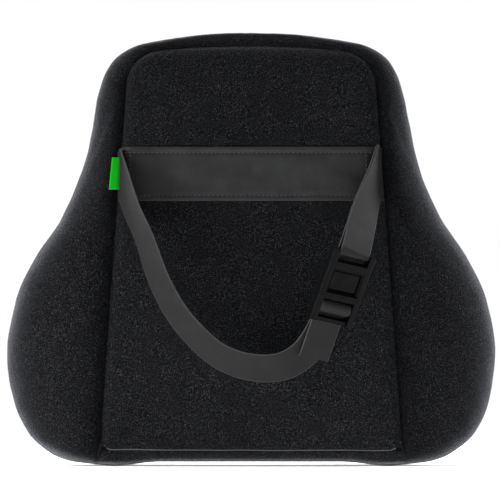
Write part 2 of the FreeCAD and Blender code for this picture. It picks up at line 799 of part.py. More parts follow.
def write_parts():
    doc.recompute()
    broken = [o.Name for o in doc.Objects if "Invalid" in o.State or "Error" in o.State]
    if broken:
        raise ValueError(f"these objects failed: {broken}")
    for item in made:
        shape = item.Shape
        if shape.isNull() or not shape.isValid() or not shape.Solids or shape.Volume <= 0:
            raise ValueError(f"{item.Label} is not a valid solid")
    os.makedirs("parts", exist_ok=True)
    for item in made:
        item.Shape.exportStep(f"parts/{item.Label}.step")
        box = item.Shape.BoundBox
        print(item.Label, len(item.Shape.Solids), round(item.Shape.Volume), "mm3",
              [round(v, 1) for v in (box.XMin, box.YMin, box.ZMin, box.XMax, box.YMax, box.ZMax)])


def main():
    place = buckle_place()
    build_cushion()
    build_band()
    build_label()
    build_socket(place)
    build_insert(place)
    build_tongue(place)
    build_webbing(place)
    build_tapes()
    build_teeth()
    build_stops()
    build_slider()
    build_pull()
    write_parts()


main()
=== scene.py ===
import json
import math

import bpy
import numpy as np
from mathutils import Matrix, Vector
from mathutils.bvhtree import BVHTree


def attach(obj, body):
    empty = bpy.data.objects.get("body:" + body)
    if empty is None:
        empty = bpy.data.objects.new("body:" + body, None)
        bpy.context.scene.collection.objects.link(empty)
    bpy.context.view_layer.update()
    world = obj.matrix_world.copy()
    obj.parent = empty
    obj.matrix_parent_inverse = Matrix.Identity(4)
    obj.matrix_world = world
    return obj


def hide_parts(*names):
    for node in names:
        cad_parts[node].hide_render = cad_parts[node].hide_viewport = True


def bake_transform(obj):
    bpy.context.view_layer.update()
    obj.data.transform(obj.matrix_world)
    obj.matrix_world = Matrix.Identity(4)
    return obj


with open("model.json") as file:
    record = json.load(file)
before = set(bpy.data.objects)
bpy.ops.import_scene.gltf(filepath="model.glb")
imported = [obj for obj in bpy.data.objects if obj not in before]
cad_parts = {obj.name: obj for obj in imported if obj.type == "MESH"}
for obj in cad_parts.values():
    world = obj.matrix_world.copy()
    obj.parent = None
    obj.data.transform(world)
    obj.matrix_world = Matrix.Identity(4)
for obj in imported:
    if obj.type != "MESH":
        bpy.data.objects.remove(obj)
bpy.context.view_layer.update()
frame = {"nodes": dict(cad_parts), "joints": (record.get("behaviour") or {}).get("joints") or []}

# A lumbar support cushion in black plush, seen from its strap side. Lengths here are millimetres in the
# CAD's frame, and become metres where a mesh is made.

MM = 0.001

# ---------------------------------------------------------------- sizes

# The cushion's form, one row per height: height, half width, rear face, front face, and the depth at which
# the side is widest.
STATIONS = np.array([
    (0.0, 115.0, -30.0, 34.0, 4.0),
    (4.0, 145.5, -39.0, 46.0, 6.0),
    (12.0, 163.0, -44.0, 54.0, 8.0),
    (27.0, 179.0, -45.0, 62.0, 10.0),
    (55.0, 190.5, -45.0, 68.0, 12.0),
    (92.0, 195.0, -45.0, 70.0, 14.0),
    (130.0, 188.5, -45.0, 66.0, 13.0),
    (165.0, 173.0, -45.0, 56.0, 10.0),
    (200.0, 150.0, -45.0, 43.0, 4.0),
    (235.0, 135.0, -45.0, 28.0, -4.0),
    (270.0, 126.0, -45.0, 14.0, -11.0),
    (300.0, 120.0, -45.0, 2.0, -17.0),
    (320.0, 111.5, -44.0, -6.0, -20.0),
    (334.0, 92.0, -39.0, -12.0, -26.0),
    (341.5, 52.0, -33.5, -16.0, -27.0),
    (344.2, 20.0, -30.5, -19.5, -26.0),
    (344.6, 0.0, -28.5, -24.0, -26.0),
])
FULLNESS = 2.4
SEAM_BASE_HALF, SEAM_TOP_HALF, SEAM_SPAN = 121.0, 97.0, 345.0
PANEL_LOW, PANEL_TOP, PANEL_CORNER, PANEL_BOW = 12.7, 332.5, 30.0, 3.2
GUSSET_HALF = 122.0
TIE_HEIGHT = 322.0
FRONT_MIDDLE = np.array([0.0, 150.0])
FRONT_SHARE = 0.42

# Segments up the panel's sides and across it, rings from its seam round to the front, and the gusset's ring.
SIDE, ACROSS, RINGS, GUSSET_RING = 112, 80, 96, 48
# Points round the seam, from its lower left corner over the top to the lower right one, and back below.
LOOP = 2 * (SIDE + ACROSS)
LOWER_RIGHT = 2 * SIDE + ACROSS
# Points beside each lower corner over which the gusset's ring eases back to its usual place.
GUSSET_EASE = 26

# The cloth simulation: how far inside its form the cover starts, and the most that it may then move.
SLACK, SWELL_LIMIT, SIM_FRAMES = 0.3, 3.5, 18
CLOTH = {
    "quality": 5,
    "mass": 0.3,
    "tension_stiffness": 18,
    "compression_stiffness": 18,
    "shear_stiffness": 6,
    "bending_stiffness": 0.6,
    "use_pressure": True,
    "uniform_pressure_force": 4.0,
    "vertex_group_mass": "seams",
}
# Share of the simulated swelling that is kept: at the silhouette, added on broad faces, and on the panel.
EDGE_SHARE, FACE_SHARE, PANEL_SHARE = 0.18, 0.45, 0.35
SEAM_DEPTH, SEAM_WIDE = 3.4, 3.0
# How far the painted shade beside the seam reaches onto the wrap near the base, and the length over which the
# seam holds the cloth from swelling, in mm.
SEAM_SHADE_REACH, SEAM_HOLDS = 18.0, 12.0

# The base stands on its two ends and lifts a little between them.
ARCH_RISE, ARCH_HALF, ARCH_EASE = 3.4, 112.0, 40.0

# The long webbing's middle line, as in the CAD: x, y, z and the turn of its width out of the panel's plane.
LOOP_ROUTE = [
    (-108.4, -36.0, 245.2, 57.8),
    (-103.0, -46.5, 229.0, 57.8),
    (-95.0, -62.0, 205.0, 57.0),
    (-85.0, -74.0, 182.0, 55.0),
    (-73.3, -81.5, 149.3, 50.0),
    (-61.0, -83.0, 125.4, 47.0),
    (-45.4, -81.3, 105.6, 44.0),
    (-27.4, -78.8, 89.7, 41.0),
    (-9.6, -76.2, 81.4, 37.0),
    (7.2, -73.6, 78.4, 34.0),
    (21.2, -71.2, 79.0, 31.5),
    (32.2, -69.4, 82.9, 30.0),
    (43.5, -68.1, 91.3, 29.3),
]
ARM_ROUTE = [
    (84.3, -84.5, 180.0, 27.5),
    (87.0, -77.5, 190.0, 30.5),
    (90.4, -68.0, 202.5, 37.0),
    (95.0, -57.2, 217.0, 48.0),
    (100.0, -46.5, 232.0, 57.8),
    (105.3, -36.0, 248.2, 57.8),
]
BUCKLE_TURN = 26.5
WEB_WIDE, WEB_THICK = 26.0, 1.25
# Where along X the run to the buckle begins, and how far it lies behind the buckle's middle.
RUN_FROM_X, RUN_BEHIND = 2.0, 1.15
BAR_IN, BAR_DOWN, ROLL_RADIUS, ROLL_TURN = 5.3, 10.4, 4.6, 240.0
TOP_BAR_IN, TOP_BAR_UP, TOP_BEND = 5.2, 34.6, 2.85
TAIL_BACK, TAIL_END = 1.2, 56.0

BAND_LOW, BAND_HIGH = 211.0, 254.0

# ---------------------------------------------------------------- camera


def build_camera():
    data = bpy.data.cameras.new("camera")
    data.sensor_width = 36.0
    data.lens = 902.0
    data.clip_end = 50.0
    camera = bpy.data.objects.new("camera", data)
    camera.location = (-0.0008, -10.0, 0.172)
    camera.rotation_euler = (math.radians(90), 0, 0)
    bpy.context.scene.collection.objects.link(camera)
    bpy.context.scene.camera = camera


# ---------------------------------------------------------------- small tools


def smooth_curve(x, knots, values):
    """A smooth line through knots that doesn't overshoot between them."""
    step = np.diff(knots)
    slope = np.diff(values) / step
    left, right = slope[:-1], slope[1:]
    weight_left, weight_right = 2 * step[1:] + step[:-1], step[1:] + 2 * step[:-1]
    same = left * right > 0
    mean = (weight_left + weight_right) / (
        weight_left / np.where(same, left, 1.0) + weight_right / np.where(same, right, 1.0)
    )
    tangent = np.concatenate([slope[:1], np.where(same, mean, 0.0), slope[-1:]])
    x = np.clip(x, knots[0], knots[-1])
    i = np.clip(np.searchsorted(knots, x, side="right") - 1, 0, len(step) - 1)
    h = step[i]
    t = (x - knots[i]) / h
    level = values[i] * (1 + 2 * t) * (1 - t) ** 2 + values[i + 1] * t * t * (3 - 2 * t)
    return level + h * (tangent[i] * t * (1 - t) ** 2 + tangent[i + 1] * t * t * (t - 1))


def spline(points, samples):
    """A smooth line through points in space, by centripetal Catmull-Rom, sampled in its own parameter."""
    points = np.asarray(points, float)
    padded = np.vstack([2 * points[0] - points[1], points, 2 * points[-1] - points[-2]])
    knots = np.concatenate([[0], np.cumsum(np.linalg.norm(np.diff(padded[:, :3], axis=0), axis=1) ** 0.5)])
    out = []
    for u in np.linspace(knots[1], knots[-2] - 1e-9, samples):
        k = min(max(int(np.searchsorted(knots, u, side="right")) - 1, 1), len(padded) - 3)
        p, t = padded[k - 1 : k + 3], knots[k - 1 : k + 3]
        a = [((t[i + 1] - u) * p[i] + (u - t[i]) * p[i + 1]) / (t[i + 1] - t[i]) for i in range(3)]
        b = [((t[i + 2] - u) * a[i] + (u - t[i]) * a[i + 1]) / (t[i + 2] - t[i]) for i in range(2)]
        out.append(((t[2] - u) * b[0] + (u - t[1]) * b[1]) / (t[2] - t[1]))
    return np.array(out)


def lengths_along(points):
    return np.concatenate([[0], np.cumsum(np.linalg.norm(np.diff(points[:, :3], axis=0), axis=1))])


def resample(points, shares):
    """Points at the given shares of a polyline's length."""
    points = np.asarray(points, float)
    run = lengths_along(points)
    return np.stack([np.interp(shares * run[-1], run, points[:, k]) for k in range(points.shape[1])], axis=1)


def dense_ends(count):
    """Shares from 0 to 1 that lie closer together near both ends."""
    t = np.linspace(0, 1, count + 1)
    return t - 0.6 * np.sin(2 * math.pi * t) / (2 * math.pi)


def unit(v):
    return v / np.maximum(np.linalg.norm(v, axis=-1, keepdims=True), 1e-9)


def ripple(run, seed, wavelength):
    """A smooth uneven wave along a length, between about -1 and 1."""
    rng = np.random.default_rng(seed)
    total = np.zeros_like(run)
    for _ in range(5):
        length = wavelength * (1 + 0.35 * rng.uniform(-1, 1))
        total += np.sin(2 * math.pi * (run / length + rng.uniform()))
    return total / 5**0.5 / 1.3


def soft_noise(points, seed, size):
    """Smooth noise in space with features of about size mm."""
    rng = np.random.default_rng(seed)
    total = np.zeros(points.shape[:-1])
    for _ in range(14):
        direction = unit(rng.normal(size=3))
        wavelength = size * rng.uniform(0.7, 1.6)
        total += np.sin(points @ direction * (2 * math.pi / wavelength) + rng.uniform(0, 6.28))
    return total / 14**0.5


def new_piece(name, vertices, faces, material, body=None):
    """A smooth mesh piece from vertices in millimetres."""
    mesh = bpy.data.meshes.new(name)
    mesh.from_pydata((np.asarray(vertices) * MM).tolist(), [], [list(map(int, f)) for f in faces])
    mesh.validate()
    mesh.polygons.foreach_set("use_smooth", [True] * len(mesh.polygons))
    piece = bpy.data.objects.new(name, mesh)
    bpy.context.scene.collection.objects.link(piece)
    mesh.materials.append(material)
    if body is not None:
        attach(piece, body)
    return piece


def grid_faces(rows, columns, closed=False, flip=False):
    """Quads of a grid numbered row by row. A closed grid joins its last column to its first."""
    faces = []
    for r in range(rows - 1):
        for c in range(columns if closed else columns - 1):
            d = (c + 1) % columns
            quad = (r * columns + c, r * columns + d, (r + 1) * columns + d, (r + 1) * columns + c)
            faces.append(quad[::-1] if flip else quad)
    return faces


def set_uv(piece, coordinates):
    """A UV map from one (u, v) pair per vertex."""
    layer = piece.data.uv_layers.new(name="cloth")
    index = np.empty(len(piece.data.loops), int)
    piece.data.loops.foreach_get("vertex_index", index)
    layer.data.foreach_set("uv", np.asarray(coordinates, np.float32)[index].ravel())


def add_modifier(piece, kind, **settings):
    modifier = piece.modifiers.new(kind.lower(), kind)
    for key, value in settings.items():
        setattr(modifier, key, value)
    return modifier


def apply_modifiers(piece):
    bpy.context.view_layer.update()
    shape = bpy.data.meshes.new_from_object(piece.evaluated_get(bpy.context.evaluated_depsgraph_get()))
    piece.modifiers.clear()
    piece.data = shape


# ---------------------------------------------------------------- materials


class Nodes:
    """A node material that is built one call at a time."""

    def __init__(self, name):
        self.material = bpy.data.materials.new(name)
        self.material.use_nodes = True
        self.tree = self.material.node_tree
        self.shader = self.tree.nodes["Principled BSDF"]
        self.coordinates = self.tree.nodes.new("ShaderNodeTexCoord")

    def add(self, kind, values=(), **settings):
        node = self.tree.nodes.new(kind)
        for key, value in settings.items():
            setattr(node, key, value)
        for key, value in dict(values).items():
            self.put(node.inputs[key], value)
        return node

    def put(self, socket, value):
        """Link a socket to another one, or set its value, where three numbers are a colour."""
        if isinstance(value, bpy.types.NodeSocket):
            self.tree.links.new(value, socket)
        elif isinstance(value, tuple) and len(value) == 3:
            socket.default_value = (*value, 1.0)
        else:
            socket.default_value = value

    def texture(self, kind, size_mm, values=(), **settings):
        """The outputs of a texture in the object's own space, with features of about size_mm."""
        place = {"Vector": self.coordinates.outputs["Object"], "Scale": 1 / (size_mm * MM)}
        return self.add(kind, {**place, **dict(values)}, **settings).outputs

    def noise(self, size_mm, detail=2.0, rough=0.5):
        return self.texture("ShaderNodeTexNoise", size_mm, {"Detail": detail, "Roughness": rough})["Fac"]

    def math(self, operation, a, b=0.0, c=0.0):
        return self.add("ShaderNodeMath", {0: a, 1: b, 2: c}, operation=operation).outputs[0]

    def ramp(self, value, stops):
        node = self.add("ShaderNodeValToRGB", {"Fac": value})
        elements = node.color_ramp.elements
        while len(elements) < len(stops):
            elements.new(0.5)
        for element, (at, color) in zip(elements, stops):
            element.position = at
            element.color = (*color, 1.0)
        return node.outputs["Color"]

    def mix(self, share, a, b):
        return self.add("ShaderNodeMix", {0: share, 6: a, 7: b}, data_type="RGBA").outputs[2]

    def scaled(self, color, share):
        return self.add("ShaderNodeVectorMath", {0: color, "Scale": share}, operation="SCALE").outputs[0]

    def past(self, value, start, end, level):
        """1 up to start, changing evenly to level at end."""
        values = {"Value": value, "From Min": start, "From Max": end, "To Min": 1.0, "To Max": level}
        return self.add("ShaderNodeMapRange", values).outputs["Result"]

    def rounded(self, edge_mm):
        """Normals that make hard edges read as rounded."""
        return self.add("ShaderNodeBevel", {"Radius": edge_mm * MM}, samples=6).outputs["Normal"]

    def bump(self, height, strength, depth_mm, under=None):
        values = {"Height": height, "Strength": strength, "Distance": depth_mm * MM}
        if under is not None:
            values["Normal"] = under
        return self.add("ShaderNodeBump", values).outputs["Normal"]

    def set(self, **values):
        for key, value in values.items():
            self.put(self.shader.inputs[key.replace("_", " ")], value)
        return self.material


def plush_material():
    """Short black pile: fine fibre tips that catch the light, soft mottling, a pale sheen, and painted shade
    that darkens colour and sheen beside the seams.
    """
    n = Nodes("plush")
    tips = n.noise(0.62, detail=1.5, rough=0.6)
    lean = n.noise(9.0, detail=3.0)
    drift = n.noise(45.0, detail=2.0)
    fibres = n.ramp(tips, [(0.0, (0.0007, 0.0007, 0.0009)), (0.48, (0.0026, 0.0027, 0.0032)),
                           (0.60, (0.0088, 0.0090, 0.0100)), (0.76, (0.062, 0.063, 0.069))])
    shade = n.math("MULTIPLY_ADD", lean, 0.4, 0.8)
    shade = n.math("MULTIPLY", shade, n.math("MULTIPLY_ADD", drift, 0.4, 0.8))
    # Painted shade beside the seams, read from a point attribute: where it is 1, colour and sheen fall to a
    # quarter.
    seam_shade = n.add("ShaderNodeAttribute", attribute_name="seam_shade").outputs["Fac"]
    kept_share = n.math("MULTIPLY_ADD", seam_shade, -0.75, 1.0)
    shade = n.math("MULTIPLY", shade, kept_share)
    color = n.scaled(fibres, shade)
    pile = n.bump(n.noise(0.7, detail=2.0), 0.85, 0.55)
    pile = n.bump(lean, 0.35, 0.8, pile)
    sheen = n.math("MULTIPLY", kept_share, 0.36)
    return n.set(Base_Color=color, Roughness=0.92, Normal=pile, Specular_IOR_Level=0.02, Sheen_Weight=sheen,
                 Sheen_Roughness=0.26, Sheen_Tint=(0.66, 0.68, 0.74))


def leatherette_material():
    n = Nodes("leatherette")
    grain = n.texture("ShaderNodeTexVoronoi", 1.5, feature="SMOOTH_F1")["Distance"]
    pores = n.noise(0.5, detail=2.0)
    tone = n.noise(14.0, detail=3.0)
    color = n.ramp(tone, [(0.3, (0.0110, 0.0112, 0.0118)), (0.7, (0.0168, 0.0172, 0.0178))])
    # Painted shade: the colour darkens evenly from 55 mm to 100 mm out from the middle, to 0.6 at the band's
    # ends, for the shade where the foam curves the band away.
    parts = n.add("ShaderNodeSeparateXYZ", {"Vector": n.coordinates.outputs["Object"]})
    color = n.scaled(color, n.past(n.math("ABSOLUTE", parts.outputs[0]), 55 * MM, 100 * MM, 0.6))
    rough = n.math("MULTIPLY_ADD", n.noise(3.0), 0.25, 0.42)
    height = n.math("MULTIPLY_ADD", pores, 0.35, grain)
    bumps = n.bump(height, 0.45, 0.25)
    return n.set(Base_Color=color, Roughness=rough, Normal=bumps, Specular_IOR_Level=0.12)


def woven_material(name, dark, light, across_mm, along_mm, depth=0.22, selvedge_highlight=0.0):
    """Plain weave laid out by the piece's UV map, which is in millimetres, with a painted highlight along
    both edges when their place is given.
    """
    n = Nodes(name)
    uv = n.coordinates.outputs["UV"]
    parts = n.add("ShaderNodeSeparateXYZ", {"Vector": uv})
    u, v = parts.outputs[0], parts.outputs[1]
    wave_u = n.math("SINE", n.math("MULTIPLY", u, 2 * math.pi / across_mm))
    wave_v = n.math("SINE", n.math("MULTIPLY", v, 2 * math.pi / along_mm))
    weave = n.math("MULTIPLY", wave_u, wave_v)
    rib = n.math("COSINE", n.math("MULTIPLY", u, 4 * math.pi / across_mm))
    ribs = n.math("MULTIPLY_ADD", rib, 0.5, weave)
    fuzz = n.noise(0.35, detail=2.0)
    tone = n.math("MULTIPLY_ADD", ribs, 0.16, n.math("MULTIPLY_ADD", fuzz, 0.7, 0.1))
    tone = n.math("MULTIPLY_ADD", n.noise(18.0), 0.3, tone)
    color = n.ramp(tone, [(0.25, dark), (0.85, light)])
    # Painted highlight: the colour brightens to 3.6 times over the last 0.75 mm of both edges, for the light
    # their rounded edges catch.
    if selvedge_highlight:
        color = n.scaled(color, n.past(n.math("ABSOLUTE", u), selvedge_highlight - 0.75, selvedge_highlight - 0.1, 3.6))
    normal = n.bump(n.math("MULTIPLY_ADD", fuzz, 0.4, ribs), 0.55, depth)
    return n.set(Base_Color=color, Roughness=0.6, Normal=normal, Specular_IOR_Level=0.04)


def plastic_material(name, dark, light, rough, grain_mm, depth, edge_mm=0.4):
    """Moulded acetal: fine spark-eroded texture, slight tone drift, and edges that read as rounded."""
    n = Nodes(name)
    tone = n.noise(11.0, detail=3.0)
    texture = n.noise(grain_mm, detail=2.0)
    color = n.ramp(tone, [(0.3, dark), (0.7, light)])
    roughness = n.math("MULTIPLY_ADD", n.noise(2.5, detail=3.0), 0.22, rough)
    bumps = n.bump(texture, 0.3, depth, n.rounded(edge_mm))
    return n.set(Base_Color=color, Roughness=roughness, Normal=bumps, Specular_IOR_Level=0.03)


def metal_material():
    n = Nodes("zip_lacquer")
    wear = n.ramp(n.noise(1.6, detail=4.0), [(0.62, (0.0, 0.0, 0.0)), (0.75, (1.0, 1.0, 1.0))])
    color = n.mix(wear, (0.018, 0.018, 0.019), (0.16, 0.155, 0.15))
    rough = n.math("MULTIPLY_ADD", n.noise(0.9), 0.3, 0.25)
    bumps = n.bump(n.noise(0.4), 0.15, 0.05, n.rounded(0.15))
    return n.set(Base_Color=color, Roughness=rough, Metallic=0.6, Normal=bumps)


def foam_material():
    n = Nodes("foam")
    cells = n.texture("ShaderNodeTexVoronoi", 1.1)["Distance"]
    color = n.ramp(n.noise(30.0, detail=3.0), [(0.3, (0.62, 0.56, 0.40)), (0.7, (0.74, 0.69, 0.54))])
    return n.set(Base_Color=color, Roughness=0.95, Normal=n.bump(cells, 0.7, 0.5), Specular_IOR_Level=0.1)


def liner_material():
    n = Nodes("liner_knit")
    waves = n.texture("ShaderNodeTexWave", 5.2, bands_direction="X")["Fac"]
    color = n.ramp(n.noise(20.0), [(0.3, (0.52, 0.52, 0.50)), (0.7, (0.64, 0.64, 0.62))])
    return n.set(Base_Color=color, Roughness=0.9, Normal=n.bump(waves, 0.4, 0.2), Sheen_Weight=0.2)


def thread_material(name, color):
    n = Nodes(name)
    twist = n.noise(0.25, detail=2.0)
    shade = n.ramp(twist, [(0.3, tuple(c * 0.6 for c in color)), (0.7, color)])
    return n.set(Base_Color=shade, Roughness=0.55, Normal=n.bump(twist, 0.5, 0.1), Sheen_Weight=0.1)


def build_materials():
    """Every material by its name."""
    looks = {
        "plush": plush_material(),
        "leatherette": leatherette_material(),
        "zip_metal": metal_material(),
        "foam": foam_material(),
        "liner": liner_material(),
        "thread": thread_material("thread_dark", (0.016, 0.016, 0.0175)),
        "thread_grey_highlight": thread_material("thread_grey_highlight", (0.034, 0.034, 0.036)),
    }
    woven = {
        "webbing": ((0.0052, 0.0052, 0.0054), (0.0155, 0.0155, 0.0161), 1.5, 1.1, 0.22, WEB_WIDE / 2),
        "label": ((0.0025, 0.16, 0.004), (0.004, 0.30, 0.006), 0.7, 0.6, 0.1),
        "zip_tape": ((0.006, 0.006, 0.007), (0.022, 0.022, 0.024), 1.0, 0.8, 0.15),
    }
    plastic = {
        "buckle_plastic": ((0.0010, 0.0011, 0.0013), (0.0019, 0.0020, 0.0022), 0.34, 0.35, 0.05),
        "button_plastic": ((0.0016, 0.0017, 0.0019), (0.0030, 0.0031, 0.0034), 0.38, 0.3, 0.06, 0.1),
        "zip_plastic": ((0.012, 0.012, 0.013), (0.022, 0.022, 0.024), 0.4, 0.3, 0.04),
    }
    looks.update({name: woven_material(name, *values) for name, values in woven.items()})
    looks.update({name: plastic_material(name, *values) for name, values in plastic.items()})
    return looks

# ---------------------------------------------------------------- the cushion's surface


def station(z):
    return [smooth_curve(z, STATIONS[:, 0], STATIONS[:, k]) for k in (1, 2, 3, 4)]


def seam_half(z):
    return SEAM_BASE_HALF + (SEAM_TOP_HALF - SEAM_BASE_HALF) * z / SEAM_SPAN


def rear_y(x, z):
    """Depth of the back surface at a point of the silhouette's plane."""
    half, rear, front, widest = station(z)
    flat = np.minimum(seam_half(z), 0.72 * half)
    out = np.clip((np.abs(x) - flat) / np.maximum(half - flat, 1e-6), 0, 1)
    return widest + (rear - widest) * (1 - out**FULLNESS) ** (1 / FULLNESS)


def front_y(x, z):
    """Depth of the sitter's surface, dished between two raised sides."""
    half, rear, front, widest = station(z)
    flat = 0.6 * half
    rise = 0.11 * np.maximum(0.0, half - 90)
    dish = front + rise * (1 - np.cos(np.pi * np.clip(np.abs(x) / np.maximum(flat, 1e-6), 0, 1))) / 2
    out = np.clip((np.abs(x) - flat) / np.maximum(half - flat, 1e-6), 0, 1)
    side = widest + (front + rise - widest) * (1 - out**FULLNESS) ** (1 / FULLNESS)
    return np.where(np.abs(x) > flat, side, dish)


def rounded_corner(before, corner, after, radius, steps=25):
    """Points of the arc that rounds a corner."""
    a, b = unit(before - corner), unit(after - corner)
    half_turn = math.acos(float(np.clip(a @ b, -1, 1))) / 2
    first, last = corner + a * radius / math.tan(half_turn), corner + b * radius / math.tan(half_turn)
    middle = corner + unit(a + b) * radius / math.sin(half_turn)
    first, last = first - middle, last - middle
    turn = math.atan2(first[0] * last[1] - first[1] * last[0], float(first @ last))
    angles = np.linspace(0, turn, steps)[:, None]
    across = np.array([-first[1], first[0]])
    return middle + first * np.cos(angles) + across * np.sin(angles)


def panel_outline():
    """The panel's seam as four lines: left side up, top to the right, right side down, bottom to the left."""
    low, high = seam_half(PANEL_LOW), seam_half(PANEL_TOP)
    corners = np.array([(-low, PANEL_LOW), (-high, PANEL_TOP), (high, PANEL_TOP), (low, PANEL_LOW)])
    left_arc = rounded_corner(corners[0], corners[1], corners[2], PANEL_CORNER)
    right_arc = left_arc[::-1] * (-1, 1)
    half = len(left_arc) // 2
    x = np.linspace(left_arc[-1, 0], right_arc[0, 0], 41)[1:-1]
    crown = np.stack([x, PANEL_TOP + PANEL_BOW * (1 - (x / left_arc[-1, 0]) ** 2)], axis=1)
    left = np.vstack([corners[:1], left_arc[: half + 1]])
    top = np.vstack([left_arc[half:], crown, right_arc[: half + 1]])
    right = np.vstack([right_arc[half:], corners[3:]])
    bottom = corners[[3, 0]]
    return [left, top, right, bottom]


def silhouette_outline():
    """The silhouette as four lines that match the panel's."""
    foot_z = np.linspace(0, 40, 200)
    side_z = np.linspace(40, 320, 300)[1:]
    top_z = np.linspace(320, STATIONS[-1, 0], 400)[1:]
    z = np.concatenate([foot_z, side_z, top_z])
    half = station(z)[0]
    edge = np.stack([half, z], axis=1)
    foot = int(np.searchsorted(half[: len(foot_z)], GUSSET_HALF))
    tie = int(np.searchsorted(z, TIE_HEIGHT))
    right = edge[foot : tie + 1][::-1]
    left = right[::-1] * (-1, 1)
    top = np.vstack([edge[tie:] * (-1, 1), edge[tie:-1][::-1]])
    x = np.linspace(half[foot], -half[foot], 300)
    lift = np.interp(np.abs(x), half[: foot + 1], z[: foot + 1], left=0.0)
    bottom = np.stack([x, lift], axis=1)
    return [left, top, right, bottom]


def closed_loop(sides):
    """The four sides as one loop of LOOP points."""
    counts = (SIDE, ACROSS, SIDE, ACROSS)
    return np.vstack([resample(side, dense_ends(count))[:-1] for side, count in zip(sides, counts)])


def coons(loop):
    """A grid that fills a loop: rows from its bottom side to its top, columns from left to right."""
    closed = np.vstack([loop, loop[:1]])
    left = closed[: SIDE + 1]
    top = closed[SIDE : SIDE + ACROSS + 1]
    right = closed[SIDE + ACROSS : LOWER_RIGHT + 1][::-1]
    bottom = closed[LOWER_RIGHT :][::-1]
    v = dense_ends(SIDE)[:, None, None]
    u = dense_ends(ACROSS)[None, :, None]
    ruled_up = (1 - v) * bottom[None] + v * top[None]
    ruled_across = (1 - u) * left[:, None] + u * right[:, None]
    corners = (1 - v) * ((1 - u) * bottom[0] + u * bottom[-1]) + v * ((1 - u) * top[0] + u * top[-1])
    return ruled_up + ruled_across - corners


def raised(flat, depth):
    """Points of the silhouette's plane moved to the surface that a function gives the depth of."""
    return np.stack([flat[..., 0], depth(flat[..., 0], flat[..., 1]), flat[..., 1]], axis=-1)

def cover_surface():
    """The whole cover as three joined grids: the panel, the rings round the sides, and the sitter's side."""
    seam = closed_loop(panel_outline())
    rim = closed_loop(silhouette_outline())
    inner = FRONT_MIDDLE + FRONT_SHARE * (rim - FRONT_MIDDLE)
    t = np.linspace(0, 1, 240)
    paths, gusset_share = [], np.full(LOOP, np.nan)
    for j in range(LOOP):
        rear = raised(seam[j] + (rim[j] - seam[j]) * (1 - (1 - t[:, None]) ** 3), rear_y)
        front = raised(rim[j] + (inner[j] - rim[j]) * t[:, None] ** 3, front_y)
        base = np.linspace(rear[-1], front[0], 60)[1:-1]
        path = np.vstack([rear, base, front])
        paths.append(path)
        if j >= LOWER_RIGHT or j == 0:
            run = lengths_along(path)
            over = len(rear) + len(base) + int(np.argmax(front[:, 2] > PANEL_LOW))
            gusset_share[j] = run[over] / run[-1]
    shares = np.linspace(0, 1, RINGS + 1)
    shares = 0.35 * shares + 0.65 * shares**1.7
    usual = shares[GUSSET_RING]
    for k in range(1, GUSSET_EASE + 1):
        ease = k / GUSSET_EASE
        ease = ease * ease * (3 - 2 * ease)
        for corner, way in ((0, 1), (LOWER_RIGHT, -1)):
            gusset_share[corner + way * k] = gusset_share[corner] + (usual - gusset_share[corner]) * ease
    gusset_share[np.isnan(gusset_share)] = usual
    rings = []
    for j in range(LOOP):
        g = gusset_share[j]
        low, high = shares * g / usual, 1 - (1 - shares) * (1 - g) / (1 - usual)
        rings.append(resample(paths[j], np.where(shares < usual, low, high)))
    rings = np.array(rings)
    return {"panel": raised(coons(seam), rear_y), "rings": rings, "sitter": raised(coons(inner), front_y)}

def joined_mesh(grids):
    """Vertices, quads and each grid's vertex numbers, for the three grids joined into one closed skin."""
    rings = grids["rings"]
    count, deep = rings.shape[:2]
    number = {"rings": np.arange(count * deep).reshape(count, deep)}
    vertices = [rings.reshape(-1, 3)]
    total = count * deep
    for name, ring in (("panel", 0), ("sitter", deep - 1)):
        grid = grids[name]
        rows, columns = grid.shape[:2]
        numbers = -np.ones((rows, columns), int)
        edge = number["rings"][:, ring]
        numbers[: rows - 1, 0] = edge[: rows - 1]
        numbers[rows - 1, : columns - 1] = edge[rows - 1 : rows + columns - 2]
        numbers[rows - 1 : 0 : -1, columns - 1] = edge[rows + columns - 2 : 2 * rows + columns - 3]
        numbers[0, columns - 1 : 0 : -1] = edge[2 * rows + columns - 3 :]
        inside = numbers < 0
        numbers[inside] = total + np.arange(inside.sum())
        vertices.append(grid[inside])
        total += int(inside.sum())
        number[name] = numbers
    faces = []
    n = number["rings"]
    for j in range(count):
        k = (j + 1) % count
        for r in range(deep - 1):
            faces.append((n[j, r], n[k, r], n[k, r + 1], n[j, r + 1]))
    for n, flip in ((number["panel"], False), (number["sitter"], True)):
        for a in range(n.shape[0] - 1):
            for b in range(n.shape[1] - 1):
                quad = (n[a, b], n[a, b + 1], n[a + 1, b + 1], n[a + 1, b])
                faces.append(quad[:1] + quad[:0:-1] if flip else quad)
    return np.concatenate(vertices), faces, number


def vertex_normals(vertices, faces):
    quads = np.array(faces)
    across = vertices[quads[:, 2]] - vertices[quads[:, 0]]
    along = vertices[quads[:, 3]] - vertices[quads[:, 1]]
    area = np.cross(across, along)
    normals = np.zeros_like(vertices)
    for k in range(4):
        np.add.at(normals, quads[:, k], area)
    return unit(normals)


